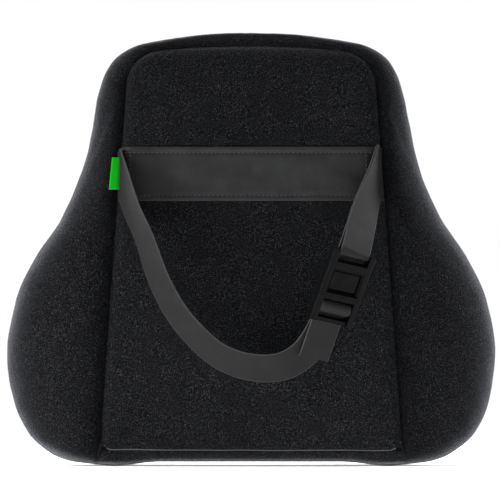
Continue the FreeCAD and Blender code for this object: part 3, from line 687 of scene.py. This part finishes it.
def stuffed(grids):
    """How far the cover moves when it is sewn and stuffed: a cloth simulation on every second line."""
    coarse = {name: grid[::2, ::2] for name, grid in grids.items()}
    vertices, faces, number = joined_mesh(coarse)
    normals = vertex_normals(vertices, faces)
    pinned = set(number["rings"][:, 0].tolist())
    pinned.update(number["rings"][j, GUSSET_RING // 2] for j in (*range(LOWER_RIGHT // 2, LOOP // 2), 0))
    for j in (0, LOWER_RIGHT // 2):
        pinned.update(number["rings"][j, : GUSSET_RING // 2].tolist())
    pinned.update(np.nonzero(vertices[:, 2] < 0.6)[0].tolist())
    pinned = np.array(sorted(int(v) for v in pinned))
    slack = np.full((len(vertices), 1), SLACK)
    slack[pinned] = 0.0
    start = vertices - normals * slack
    mesh = bpy.data.meshes.new("stuffing")
    mesh.from_pydata((start * MM).tolist(), [], [list(map(int, f)) for f in faces])
    body = bpy.data.objects.new("stuffing", mesh)
    bpy.context.scene.collection.objects.link(body)
    group = body.vertex_groups.new(name="seams")
    group.add(pinned.tolist(), 1.0, "REPLACE")
    cloth = body.modifiers.new("cloth", "CLOTH")
    for key, value in CLOTH.items():
        setattr(cloth.settings, key, value)
    cloth.settings.effector_weights.gravity = 0.0
    cloth.collision_settings.use_collision = False
    for step in range(1, SIM_FRAMES + 1):
        bpy.context.scene.frame_set(step)
    shape = body.evaluated_get(bpy.context.evaluated_depsgraph_get()).data
    moved = np.empty(len(shape.vertices) * 3)
    shape.vertices.foreach_get("co", moved)
    moved = moved.reshape(-1, 3) / MM - vertices
    bpy.context.scene.frame_set(1)
    bpy.data.objects.remove(body)
    size = np.linalg.norm(moved, axis=1, keepdims=True)
    moved *= np.minimum(1, SWELL_LIMIT / np.maximum(size, 1e-9))
    moved *= EDGE_SHARE + FACE_SHARE * np.abs(normals[:, 1:2])
    return {name: moved[number[name]] for name in grids}


def between(move, closed):
    """A move known on every second line, on every line."""
    rows = move.shape[0] * 2 if closed else move.shape[0] * 2 - 1
    out = np.zeros((rows, move.shape[1] * 2 - 1, 3))
    out[::2, ::2] = move
    ahead = np.roll(move, -1, axis=0) if closed else move[1:]
    here = move if closed else move[:-1]
    out[1::2, ::2] = (here + ahead) / 2
    out[:, 1::2] = (out[:, :-2:2] + out[:, 2::2]) / 2
    return out


def seam_distance(points, seam):
    """Distance in the silhouette's plane from each point to the nearest seam point, and its number."""
    flat = points.reshape(-1, 3)[:, [0, 2]]
    best, which = np.full(len(flat), 1e9), np.zeros(len(flat), int)
    for k, place in enumerate(seam[:, [0, 2]]):
        gap = np.hypot(*(flat - place).T)
        closer = gap < best
        best[closer], which[closer] = gap[closer], k
    return best.reshape(points.shape[:-1]), which.reshape(points.shape[:-1])


def sewn_cover():
    """The finished surface of the cover: stuffed, drawn in along its seams, and puckered beside them."""
    grids = cover_surface()
    moves = {name: np.zeros_like(grid) for name, grid in grids.items()}
    coarse = stuffed(grids)
    moves = {name: between(coarse[name], name == "rings") for name in grids}
    moves["panel"] *= PANEL_SHARE
    from_seam = np.stack([lengths_along(column) for column in grids["rings"]])
    moves["rings"] *= (1 - np.exp(-((from_seam / SEAM_HOLDS) ** 2)))[..., None]
    vertices, faces, number = joined_mesh(grids)
    normals = vertex_normals(vertices, faces)
    shaped = {}
    seam = grids["rings"][:, 0]
    run = lengths_along(np.vstack([seam, seam[:1]]))[:-1]
    pucker = ripple(run, 3, 11.0) + 0.5 * ripple(run, 4, 5.5)
    open_hem = np.zeros(LOOP)
    open_hem[LOWER_RIGHT :] = 1.0
    for name, grid in grids.items():
        out = normals[number[name]]
        place = grid + moves[name]
        if name == "rings":
            gap = np.stack([lengths_along(column) for column in place])
            near = np.repeat(np.arange(LOOP)[:, None], grid.shape[1], axis=1)
        elif name == "panel":
            gap, near = seam_distance(grid, seam)
        else:
            gap, near = np.full(grid.shape[:2], 1e3), np.zeros(grid.shape[:2], int)
        sewn = 1 - open_hem[near] * (1.0 if name == "panel" else 0.4)
        wide = SEAM_WIDE * (1.3 if name == "panel" else 2.1)
        drawn = SEAM_DEPTH * np.exp(-((gap / wide) ** 1.6)) * sewn
        crown = 1.3 * (1 - np.exp(-gap / 9.0)) * np.exp(-gap / 60.0) * sewn
        rumple = 0.42 * pucker[near] * np.exp(-gap / 9.0) * (gap / 3.0).clip(0, 1) * sewn
        uneven = 0.45 * soft_noise(grid, 11, 60.0) + 0.16 * soft_noise(grid, 12, 19.0)
        uneven *= 1 - 0.75 * np.clip((grid[..., 2] - 290.0) / 35.0, 0, 1)
        kept_share = np.clip(grid[..., 2] / 9.0, 0, 1)
        shaped[name] = place + out * ((crown + rumple + uneven) * kept_share - drawn)[..., None]
        shaped[name][..., 2] = np.maximum(shaped[name][..., 2], 0.0)
    kept_share = np.clip((grids["rings"][..., 2:] - 3.0) / 6.0, 0, 1)
    rings = grids["rings"]
    for corner in (0, LOWER_RIGHT):
        for step in range(-6, 7):
            j = (corner + step) % LOOP
            apart = np.linalg.norm(rings[j] - rings[corner], axis=1)
            groove = 2.2 * np.exp(-((apart / 2.6) ** 2))
            groove[GUSSET_RING + 2 :] = 0
            shaped["rings"][j] -= normals[number["rings"][j]] * groove[:, None] * kept_share[j]
    for j in (*range(LOWER_RIGHT, LOOP), 0):
        apart = np.linalg.norm(rings[j] - rings[j, GUSSET_RING], axis=1)
        groove = 2.4 * np.exp(-((apart / 2.8) ** 2))
        shaped["rings"][j] -= normals[number["rings"][j]] * groove[:, None] * kept_share[j]
    low = np.clip(1 - shaped["rings"][..., 2] / PANEL_LOW, 0, 1)
    arch = np.clip((ARCH_HALF - np.abs(shaped["rings"][..., 0])) / ARCH_EASE, 0, 1)
    shaped["rings"][..., 2] += ARCH_RISE * low * arch * arch * (3 - 2 * arch)
    shaped["rings"][..., 2] = np.maximum(shaped["rings"][..., 2], 0.0)
    return shaped, grids, moves


def turned_in(vertices, faces, depth):
    """The mesh with every open edge turned inwards, as cloth is where it is sewn."""
    edges = {}
    for face in faces:
        for a, b in zip(face, (*face[1:], face[0])):
            edges.setdefault((min(a, b), max(a, b)), []).append((a, b))
    rim = [pair[0] for pair in edges.values() if len(pair) == 1]
    normals = vertex_normals(vertices, [f if len(f) == 4 else (*f, f[0]) for f in faces])
    copies, extra, extra_faces = {}, [], []
    for a, b in rim:
        for v in (a, b):
            if v not in copies:
                copies[v] = len(vertices) + len(extra)
                extra.append(vertices[v] - normals[v] * depth)
        extra_faces.append((b, a, copies[a], copies[b]))
    return np.vstack([vertices, extra]), list(faces) + extra_faces


def cover_pieces(materials, shaped):
    """The plush wrapped round the sides, top and front, and the strip under the base, with painted shade
    stored on their points beside the panel's seam.
    """
    vertices, faces, number = joined_mesh(shaped)
    rings = number["rings"]
    # Painted shade beside the panel's seam: 1 at the seam, fading along each ring over a reach that shortens
    # higher up, and weaker under the panel's top.
    seam_shade = np.zeros(len(vertices))
    for j in range(LOWER_RIGHT):
        height = shaped["rings"][j, 0, 2]
        reach = np.interp(height, (0, PANEL_TOP), (SEAM_SHADE_REACH, 0.35 * SEAM_SHADE_REACH))
        top = np.clip((PANEL_TOP - height) / PANEL_CORNER, 0.1, 1)
        seam_shade[rings[j]] = top * np.exp(-lengths_along(shaped["rings"][j]) / reach)
    gusset = set()
    for j in range(LOWER_RIGHT, LOOP):
        k = (j + 1) % LOOP
        for r in range(GUSSET_RING):
            gusset.add((rings[j, r], rings[k, r], rings[k, r + 1], rings[j, r + 1]))
    panel_start = LOOP * RINGS
    panel_end = panel_start + SIDE * ACROSS
    wrap = [f for i, f in enumerate(faces) if f not in gusset and not panel_start <= i < panel_end]
    parts = (("plush_wrap", wrap, "cover_wrap"), ("plush_base", sorted(gusset), "bottom_gusset"))
    for name, chosen, node in parts:
        used = sorted({v for f in chosen for v in f})
        renumber = {v: i for i, v in enumerate(used)}
        quads = [tuple(renumber[v] for v in f) for f in chosen]
        points, quads = turned_in(vertices[used], quads, 4.0)
        piece = new_piece(name, points, quads, body="cushion", material=materials["plush"])
        # Turned-in edges get the painted shade in full.
        shares = np.ones(len(points))
        shares[: len(used)] = seam_shade[used]
        piece.data.attributes.new("seam_shade", "FLOAT", "POINT").data.foreach_set("value", shares)
        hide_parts(node)


def surface_tree(shaped):
    """The cover's finished surface, for finding where things lie on it."""
    vertices, faces, _ = joined_mesh(shaped)
    return BVHTree.FromPolygons(vertices.tolist(), [tuple(map(int, f)) for f in faces])


def back_at(tree, x, z):
    """The point of the back surface at x, z, and the surface's direction there."""
    place, normal, _, _ = tree.ray_cast(Vector((x, -150, z)), Vector((0, 1, 0)))
    return np.array(place), np.array(normal)


def panel_grid(shaped):
    """The panel with its lower corners rounded and its lower part drawn in from the seam, as a flap needs."""
    grid = shaped["panel"].copy()
    x, z = grid[..., 0].copy(), grid[..., 2].copy()
    low = np.clip((37.0 - z) / 8.0, 0, 1)
    grid[..., 0] = x * (1 - 0.004 * low)
    radius = 10.0
    edge = seam_half(PANEL_LOW) * (1 - 0.004)
    inner_x, inner_z = edge - radius, PANEL_LOW + radius
    dx, dz = np.abs(grid[..., 0]) - inner_x, inner_z - z
    corner = (dx > 0) & (dz > 0)
    reach = np.hypot(dx, dz)
    square = np.maximum(dx, dz)
    scale = np.where(corner & (reach > 0), square / np.maximum(reach, 1e-9), 1.0)
    grid[..., 0] = np.where(corner, np.sign(x) * (inner_x + dx * scale), grid[..., 0])
    grid[..., 2] = np.where(corner, inner_z - dz * scale, z)
    wave = 0.35 * soft_noise(grid * (1, 0, 0), 21, 55.0) * np.clip((30.0 - z) / 18.0, 0, 1)
    grid[..., 2] += wave
    free = np.minimum(np.abs(grid[..., 2] - PANEL_LOW), np.where(z < 37, edge - np.abs(grid[..., 0]), 99.0))
    roll = np.clip(1 - np.maximum(free, 0) / 3.0, 0, 1) * np.clip((41.0 - z) / 4.0, 0, 1)
    hem = np.exp(-(((free - 9.0) / 1.3) ** 2)) * np.clip((41.0 - z) / 4.0, 0, 1)
    grid[..., 1] += 1.5 * roll**2 + 0.55 * hem
    lip = np.clip((41.0 - z) / 5.0, 0, 1) * 0.6
    grid[..., 1] -= lip
    return grid


def build_panel(shaped, materials):
    """The back panel and the flap below it, as one piece of plush that is not attached to the flap's body;
    only the thread along its lower edge goes with the flap.
    """
    grid = panel_grid(shaped)
    rows, columns = grid.shape[:2]
    panel = new_piece("plush_panel", grid.reshape(-1, 3), grid_faces(rows, columns),
                      material=materials["plush"])
    add_modifier(panel, "SOLIDIFY", thickness=2.0 * MM, offset=-1.0)
    add_modifier(panel, "EDGE_SPLIT", split_angle=math.radians(80))
    apply_modifiers(panel)
    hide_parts("back_panel", "panel_flap")
    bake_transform(panel)
    # Painted highlight: a thin thread of lighter grey along the panel's lower edge draws the light line that
    # the hem's edge catches.
    bottom = grid[0, 3:-3] + (0, -0.35, 0.25)
    edge = tube("panel_hem_highlight", bottom, 0.3, 8, "closing_flap", materials["thread_grey_highlight"])


def tube(name, points, radius, sides, body, material):
    """A round thread along points, closed at both ends."""
    points = np.asarray(points)
    heading = unit(np.gradient(points, axis=0))
    side = unit(np.cross(heading, (0.0, -1.0, 0.2)))
    up = np.cross(side, heading)
    angles = np.linspace(0, 2 * math.pi, sides + 1)[:-1]
    ring = np.cos(angles)[None, :, None] * side[:, None] + np.sin(angles)[None, :, None] * up[:, None]
    vertices = (points[:, None] + radius * ring).reshape(-1, 3)
    faces = grid_faces(len(points), sides, closed=True)
    faces += [tuple(range(sides)), tuple(range((len(points) - 1) * sides, len(points) * sides))[::-1]]
    return new_piece(name, vertices, faces, body=body, material=material)


def stitch_row(name, places, headings, normals, body, material):
    """Short threads that dip into the cloth at both ends, one for each place."""
    length, radius, proud = 2.6, 0.26, 0.25
    rings, sides = 6, 6
    s = np.linspace(-0.5, 0.5, rings)
    arch = proud - (proud + radius + 0.25) * (2 * s) ** 4
    angles = np.linspace(0, 2 * math.pi, sides + 1)[:-1]
    vertices, faces = [], []
    for place, heading, normal in zip(places, headings, normals):
        across = np.cross(heading, normal)
        start = len(vertices) * sides
        for step, height in zip(s, arch):
            middle = place + heading * step * length + normal * height
            ring = np.cos(angles)[:, None] * across + np.sin(angles)[:, None] * normal
            vertices.append(middle + radius * ring)
        faces += [tuple(start + v for v in f) for f in grid_faces(rings, sides, closed=True)]
        faces.append(tuple(start + i for i in range(sides)))
        faces.append(tuple(start + (rings - 1) * sides + i for i in range(sides))[::-1])
    return new_piece(name, np.concatenate(vertices), faces, body=body, material=material)


def strip(name, middles, across, material, caps=(True, True), start=0.0):
    """Webbing along middles, with rounded edges. Its UV map is millimetres across and along."""
    middles, across = np.asarray(middles), unit(np.asarray(across))
    heading = unit(np.gradient(middles, axis=0))
    normal = unit(np.cross(across, heading))
    across = unit(np.cross(heading, normal))
    left = np.array([0.0, 0.1, 0.42, 1.0, 1.8, 3.4, 6.5, 9.5]) - WEB_WIDE / 2
    swell = np.array([0.0, 0.75, 1.04, 1.06, 0.98, 0.96, 0.96, 0.96])
    u = np.concatenate([left, -left[::-1]])
    w = np.concatenate([swell, swell[::-1]]) * WEB_THICK / 2
    ring_u = np.concatenate([u, u[-2:0:-1]])
    ring_w = np.concatenate([w, -w[-2:0:-1]])
    sideways = ring_u[None, :, None] * across[:, None]
    vertices = middles[:, None] + sideways + ring_w[None, :, None] * normal[:, None]
    run = start + lengths_along(middles)
    uv = np.stack(np.broadcast_arrays(ring_u[None, :], run[:, None]), axis=-1).reshape(-1, 2)
    count = len(ring_u)
    faces = grid_faces(len(middles), count, closed=True, flip=True)
    if caps[0]:
        faces.append(tuple(range(count)))
    if caps[1]:
        faces.append(tuple(range((len(middles) - 1) * count, len(middles) * count))[::-1])
    piece = new_piece(name, vertices.reshape(-1, 3), faces, material=material)
    set_uv(piece, uv)
    add_modifier(piece, "EDGE_SPLIT", split_angle=math.radians(62))
    apply_modifiers(piece)
    return piece


def width_direction(heading, turn):
    """Across a strap whose width is turned out of the panel's plane by turn degrees."""
    across = unit(np.stack([-heading[:, 2], np.zeros(len(heading)), heading[:, 0]], axis=1))
    outward = np.cross(heading, across)
    turn = np.radians(turn)[:, None]
    return np.cos(turn) * across + np.sin(turn) * outward


def joint(name):
    return next(j for j in frame["joints"] if j["name"] == name)


class Buckle:
    """The buckle's own directions: right, back and up, and its middle."""

    def __init__(self):
        self.up = -unit(np.array(joint("buckle_release")["axis"], float))
        self.right = -unit(np.array(joint("tongue_press")["axis"], float))
        self.back = np.cross(self.up, self.right)
        press = np.array(joint("tongue_press")["pos_m"], float) / MM
        self.middle = press + 4.8 * self.back - 1.3 * self.up

    def at(self, back, up):
        return self.middle + back * self.back + up * self.up

    def round_bar(self, degrees):
        """A point of the webbing's middle line where it winds round the insert's bar."""
        turn = math.radians(degrees)
        return self.at(-BAR_IN + ROLL_RADIUS * math.cos(turn), -BAR_DOWN + ROLL_RADIUS * math.sin(turn))


def nearest(points, place):
    """The number of the point that is nearest to a place."""
    return int(np.argmin(np.linalg.norm(points - place, axis=1)))

def long_webbing_line(buckle):
    """The long webbing's middle line, its direction across, and where its run and its roll begin."""
    behind = [(*buckle.at(RUN_BEHIND, up), BUCKLE_TURN) for up in (-27.0, -21.5)]
    into = [(*buckle.at(0.45, -16.0), BUCKLE_TURN)]
    onto_bar = [(*buckle.round_bar(turn), BUCKLE_TURN) for turn in (0, 30)]
    loop = spline(LOOP_ROUTE + behind + into + onto_bar, 460)
    loop = loop[: nearest(loop[:, :3], buckle.round_bar(0)) + 1]
    across = width_direction(unit(np.gradient(loop[:, :3], axis=0)), loop[:, 3])
    roll = [buckle.round_bar(turn) for turn in np.linspace(0, ROLL_TURN, 70)[1:]]
    hanging = ((-3.4, -16.8), (-1.75, -18.6), (-TAIL_BACK, -21.0), (-TAIL_BACK - 0.25, -38.0),
               (-TAIL_BACK - 0.7, -TAIL_END))
    tail = spline(roll[-2:] + [buckle.at(back, up) for back, up in hanging], 120)
    tail = tail[nearest(tail, roll[-1]) + 1 :]
    middles = np.vstack([loop[:, :3], roll, tail])
    across = np.vstack([across, np.tile(-buckle.right, (len(roll) + len(tail), 1))])
    apart = np.linalg.norm(np.diff(middles, axis=0), axis=1)
    kept = np.concatenate([[True], apart > 0.05])
    middles, across = middles[kept], across[kept]
    return middles, across, int(np.argmax(middles[:, 0] > RUN_FROM_X)), nearest(middles, roll[0])

def build_long_webbing(materials, buckle):
    """From the left seam round the loop and behind the buckle, then over its bar and down as a tail."""
    middles, across, run_from, roll_from = long_webbing_line(buckle)
    ends = (0, run_from, roll_from, len(middles) - 1)
    along = lengths_along(middles)
    names = ("webbing_loop", "webbing_run", "webbing_roll_and_tail")
    loop_piece, run_piece, tail_piece = (
        strip(name, middles[low : high + 1], across[low : high + 1], materials["webbing"],
              caps=(low == 0, high == ends[-1]), start=along[low])
        for name, low, high in zip(names, ends, ends[1:])
    )
    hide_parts("webbing_long")
    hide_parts("webbing_long")
    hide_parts("webbing_tail")
    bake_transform(loop_piece)
    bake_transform(run_piece)
    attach(tail_piece, "insert")


def build_short_webbing(materials, buckle):
    """From the right seam down round the buckle's top bar and back up behind itself."""
    bar = buckle.at(-TOP_BAR_IN, TOP_BAR_UP)
    lowest = bar + 1.5 * buckle.up
    arm = spline([(*lowest, BUCKLE_TURN)] + ARM_ROUTE, 220)
    heading = unit(np.gradient(arm[:, :3], axis=0))
    across = width_direction(heading, arm[:, 3])
    normal = unit(np.cross(across, heading))
    away = np.linalg.norm(arm[:, :3] - bar, axis=1)
    apart = TOP_BEND + (0.9 - TOP_BEND) * np.clip(away / 26.0, 0, 1)
    front = arm[:, :3] - normal * apart[:, None]
    back = arm[:, :3] + normal * apart[:, None]
    angles = np.linspace(0, math.pi, 26)[1:-1]
    turn = [lowest - TOP_BEND * (math.cos(a) * buckle.back + math.sin(a) * buckle.up) for a in angles]
    middles = np.vstack([front[::-1], turn, back])
    sideways = np.vstack([across[::-1], np.tile(-buckle.right, (len(turn), 1)), across])
    piece = strip("webbing_short_doubled", middles, sideways, materials["webbing"])
    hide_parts("webbing_short")
    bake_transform(piece)


def build_band(materials, tree):
    """Leatherette across the panel, its long edges folded to hems with a row of stitches inside each."""
    hem = [(0.0, -0.7), (0.0, 0.5), (0.12, 1.4), (0.5, 1.95), (1.6, 2.15), (2.7, 2.05), (3.1, 1.85),
           (3.3, 1.3), (3.9, 1.15), (4.6, 0.95), (5.3, 1.15), (6.5, 1.35)]
    tall = BAND_HIGH - BAND_LOW
    flat = [(up, 1.4) for up in np.linspace(9.0, tall - 9.0, 10)]
    profile = hem + flat + [(tall - up, proud) for up, proud in hem[::-1]]
    columns = 150
    share = np.linspace(0, 1, columns)
    vertices = []
    for up, proud in profile:
        z = BAND_LOW + up
        edge = seam_half(z) - 0.4
        x = -edge + 2 * edge * share
        for k in range(columns):
            place, _ = back_at(tree, x[k], z)
            near = min(k, columns - 1 - k) / 9.0
            tuck = max(0.0, 1 - near) ** 2
            vertices.append((x[k], place[1] - proud * (1 - 0.75 * tuck) - 0.1, z))
    vertices = np.array(vertices)
    inner = vertices.reshape(len(profile), columns, 3)
    slack = 0.28 * soft_noise(inner, 31, 42.0) + 0.10 * soft_noise(inner * (1.0, 1.0, 0.3), 32, 12.0)
    inner[2:-2, :, 1] += slack[2:-2] * np.clip(np.minimum(share, 1 - share) * 30, 0, 1)
    faces = grid_faces(len(profile), columns)
    band = new_piece("leatherette_band", vertices, faces, body="cushion",
                     material=materials["leatherette"])
    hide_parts("back_band")
    skin = BVHTree.FromPolygons(vertices.tolist(), faces)
    rows = []
    for z in (BAND_LOW + 4.6, BAND_HIGH - 4.6):
        edge = seam_half(z) - 4.0
        rows += [((x, z), (1.0, 0.0, 0.0)) for x in np.arange(-edge, edge, 3.6)]
    for end in (91.5, -96.0):
        rows += [((end, z), (0.0, 0.0, 1.0)) for z in np.arange(BAND_LOW + 7.0, BAND_HIGH - 6.0, 3.6)]
    places, headings, normals = [], [], []
    for (x, z), heading in rows:
        place, normal = back_at(skin, x, z)
        places.append(place)
        normals.append(normal)
        headings.append(unit(np.array(heading) - normal * np.dot(heading, normal)))
    stitches = stitch_row("band_stitches", places, headings, normals, "cushion", materials["thread"])


def build_label(materials, tree):
    """A blank woven label, folded double and caught in the left seam, its foot a little further out."""
    low, high, reach = 220.0, 245.6, 8.0
    rows, bend = 14, 0.55
    vertices, uv = [], []
    path = [(-0.8, 0)] + [(t, 0) for t in np.linspace(0.2, reach - bend, 8)]
    path += [(reach - bend + bend * math.sin(a), 1 - math.cos(a)) for a in np.linspace(0, math.pi, 7)[1:-1]]
    path += [(t, 2) for t in np.linspace(reach - bend, 0.2, 8)] + [(-0.8, 2)]
    for z in np.linspace(low, high, rows):
        lean = 0.7 * (high - z) / (high - low)
        seam_x = -seam_half(z) + 1.6
        lift = min(back_at(tree, seam_x - t, z)[0][1] for t in (2.0, 5.0, 9.0))
        for t, layer in path:
            x = seam_x - t - lean * max(t, 0) / reach
            stand = 0.5 + 0.9 * max(t, 0) / reach
            root = max(0.0, 1 - max(t, 0) / 2.5) ** 2 * 1.6
            vertices.append((x, lift - stand - 0.9 + layer * bend + root, z))
            uv.append((x, z))
    columns = len(path)
    label = new_piece("label_blank", vertices, grid_faces(rows, columns, flip=True),
                      material=materials["label"])
    set_uv(label, uv)
    add_modifier(label, "SOLIDIFY", thickness=0.32 * MM, offset=0.0)
    apply_modifiers(label)
    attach(label, "cushion")
    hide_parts("side_label")


def build_zip_tapes(materials):
    """The two woven tapes of the zip, curved back out to the cloth they are sewn to on all sides."""
    profiles = {
        "zip_tape_upper": [(-42.4, 42.0), (-41.6, 38.5), (-39.6, 34.5), (-37.0, 31.2), (-35.3, 28.6),
                           (-34.8, 25.5), (-34.8, 22.5), (-34.8, 19.4)],
        "zip_tape_lower": [(-42.2, 12.9), (-40.4, 13.3), (-38.2, 13.7), (-36.4, 14.3), (-35.2, 15.2),
                           (-34.8, 16.4), (-34.8, 17.5), (-34.8, 18.5)],
    }
    for node, profile in profiles.items():
        edge = 119.9
        x = np.linspace(-edge, edge, 121)
        out = np.clip((np.abs(x) - 111.5) / 8.0, 0, 1) ** 1.6
        rows = np.array(resample(np.array(profile), np.linspace(0, 1, 18)))
        vertices = []
        for y, z in rows:
            lifted = y + (-38.4 - y) * out
            vertices += [(a, b, z) for a, b in zip(x, lifted)]
        vertices = np.array(vertices)
        flip = node.endswith("lower")
        tape = new_piece("woven_" + node, vertices, grid_faces(18, 121, flip=flip),
                         material=materials["zip_tape"])
        depth = np.repeat(lengths_along(np.column_stack([rows, rows[:, 0] * 0])), 121)
        set_uv(tape, np.stack([vertices[:, 0], depth], axis=1))
        add_modifier(tape, "SOLIDIFY", thickness=0.6 * MM, offset=0.0)
        apply_modifiers(tape)
        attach(tape, "cushion")
        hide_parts(node)


def build_inside(materials, grids, moves):
    """The foam core and its liner, which show only when the cover is taken off."""
    coarse = {name: (grids[name] + moves[name])[::2, ::2] for name in grids}
    vertices, faces, _ = joined_mesh(coarse)
    normals = vertex_normals(vertices, faces)
    layers = (("knit_liner", 6.5, "inner_liner", "liner"), ("foam_form", 8.0, "foam_core", "foam"))
    for name, inset, node, slot in layers:
        top = np.clip((vertices[:, 2:] - 290) / 30, 0, 1)
        inside = vertices - normals * (inset + 2.0 * top) - top * (0, 0, 4.0)
        deep = np.clip((127 - np.abs(inside[:, 0])) / 8, 0, 1) * np.clip((50 - inside[:, 2]) / 12, 0, 1)
        floor = -31.0 + (inset - 6.5)
        y = inside[:, 1]
        inside[:, 1] = np.where(y < floor, y + (floor - y) * np.minimum(deep * 1.6, 1), y)
        inside[:, 2] = np.maximum(inside[:, 2], inset)
        piece = new_piece(name, inside, faces, material=materials[slot])
        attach(piece, "cushion")
        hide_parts(node)


def dress_nodes(materials):
    """Materials for the hard parts that are shown as the CAD made them."""
    looks = {
        "buckle_socket": "buckle_plastic",
        "buckle_insert": "buckle_plastic",
        "release_tongue": "button_plastic",
        "zip_teeth_upper": "zip_plastic",
        "zip_teeth_lower": "zip_plastic",
        "zip_end_stops": "zip_metal",
        "zip_slider": "zip_metal",
        "zip_pull": "zip_metal",
    }
    for node, look in looks.items():
        piece = frame["nodes"][node]
        if not piece.material_slots:
            piece.data.materials.append(None)
        for slot in piece.material_slots:
            slot.link = "OBJECT"
            slot.material = materials[look]


# ---------------------------------------------------------------- whole scene


def build_stage():
    floor = bpy.data.meshes.new("floor")
    ring = [(1.5 * math.cos(a), 1.5 * math.sin(a), 0) for a in np.linspace(0, 2 * math.pi, 97)[:-1]]
    floor.from_pydata(ring, [], [list(range(96))])
    piece = bpy.data.objects.new("floor", floor)
    bpy.context.scene.collection.objects.link(piece)
    n = Nodes("pale_floor")
    color = n.ramp(n.noise(400.0, detail=2.0), [(0.3, (0.90, 0.90, 0.90)), (0.7, (0.93, 0.93, 0.93))])
    pale = n.set(Base_Color=color, Roughness=0.8, Specular_IOR_Level=0.1, Emission_Color=color,
                 Emission_Strength=0.35)
    floor.materials.append(pale)


def area_light(name, place, aim, size, power):
    data = bpy.data.lights.new(name, "AREA")
    data.shape = "RECTANGLE"
    data.size, data.size_y = size
    data.energy = power
    lamp = bpy.data.objects.new(name, data)
    lamp.location = place
    lamp.rotation_euler = (Vector(aim) - Vector(place)).to_track_quat("-Z", "Y").to_euler()
    lamp.visible_camera = False
    bpy.context.scene.collection.objects.link(lamp)


def build_lights():
    bpy.context.scene.view_settings.view_transform = "Standard"
    world = bpy.data.worlds.new("studio")
    bpy.context.scene.world = world
    world.use_nodes = True
    tree = world.node_tree
    background = tree.nodes["Background"]
    background.inputs["Color"].default_value = (1.0, 1.0, 1.0, 1.0)
    seen = tree.nodes.new("ShaderNodeLightPath").outputs["Is Camera Ray"]
    strength = tree.nodes.new("ShaderNodeMapRange")
    strength.inputs["To Min"].default_value = 0.05
    strength.inputs["To Max"].default_value = 1.0
    tree.links.new(seen, strength.inputs["Value"])
    tree.links.new(strength.outputs["Result"], background.inputs["Strength"])
    middle = (0, 0, 0.16)
    area_light("left", (-2.3, -0.75, 0.6), middle, (0.9, 1.4), 90)
    area_light("left_back", (-1.9, 1.3, 0.6), middle, (0.8, 1.4), 70)
    area_light("right_back", (2.1, 1.0, 0.6), middle, (0.9, 1.4), 120)
    area_light("top", (0.0, 0.2, 2.1), middle, (2.4, 1.4), 100)
    area_light("front", (-0.9, -2.8, 1.1), middle, (1.5, 1.5), 2)
    area_light("table", (0, -0.25, 0.0006), (0, -0.25, 1.0), (1.2, 0.44), 3)


build_camera()
build_lights()
build_stage()
MATERIALS = build_materials()
shaped, grids, moves = sewn_cover()
cover_pieces(MATERIALS, shaped)
build_panel(shaped, MATERIALS)
build_inside(MATERIALS, grids, moves)
TREE = surface_tree(shaped)
BUCKLE = Buckle()
build_band(MATERIALS, TREE)
build_label(MATERIALS, TREE)
build_zip_tapes(MATERIALS)
build_long_webbing(MATERIALS, BUCKLE)
build_short_webbing(MATERIALS, BUCKLE)
dress_nodes(MATERIALS)
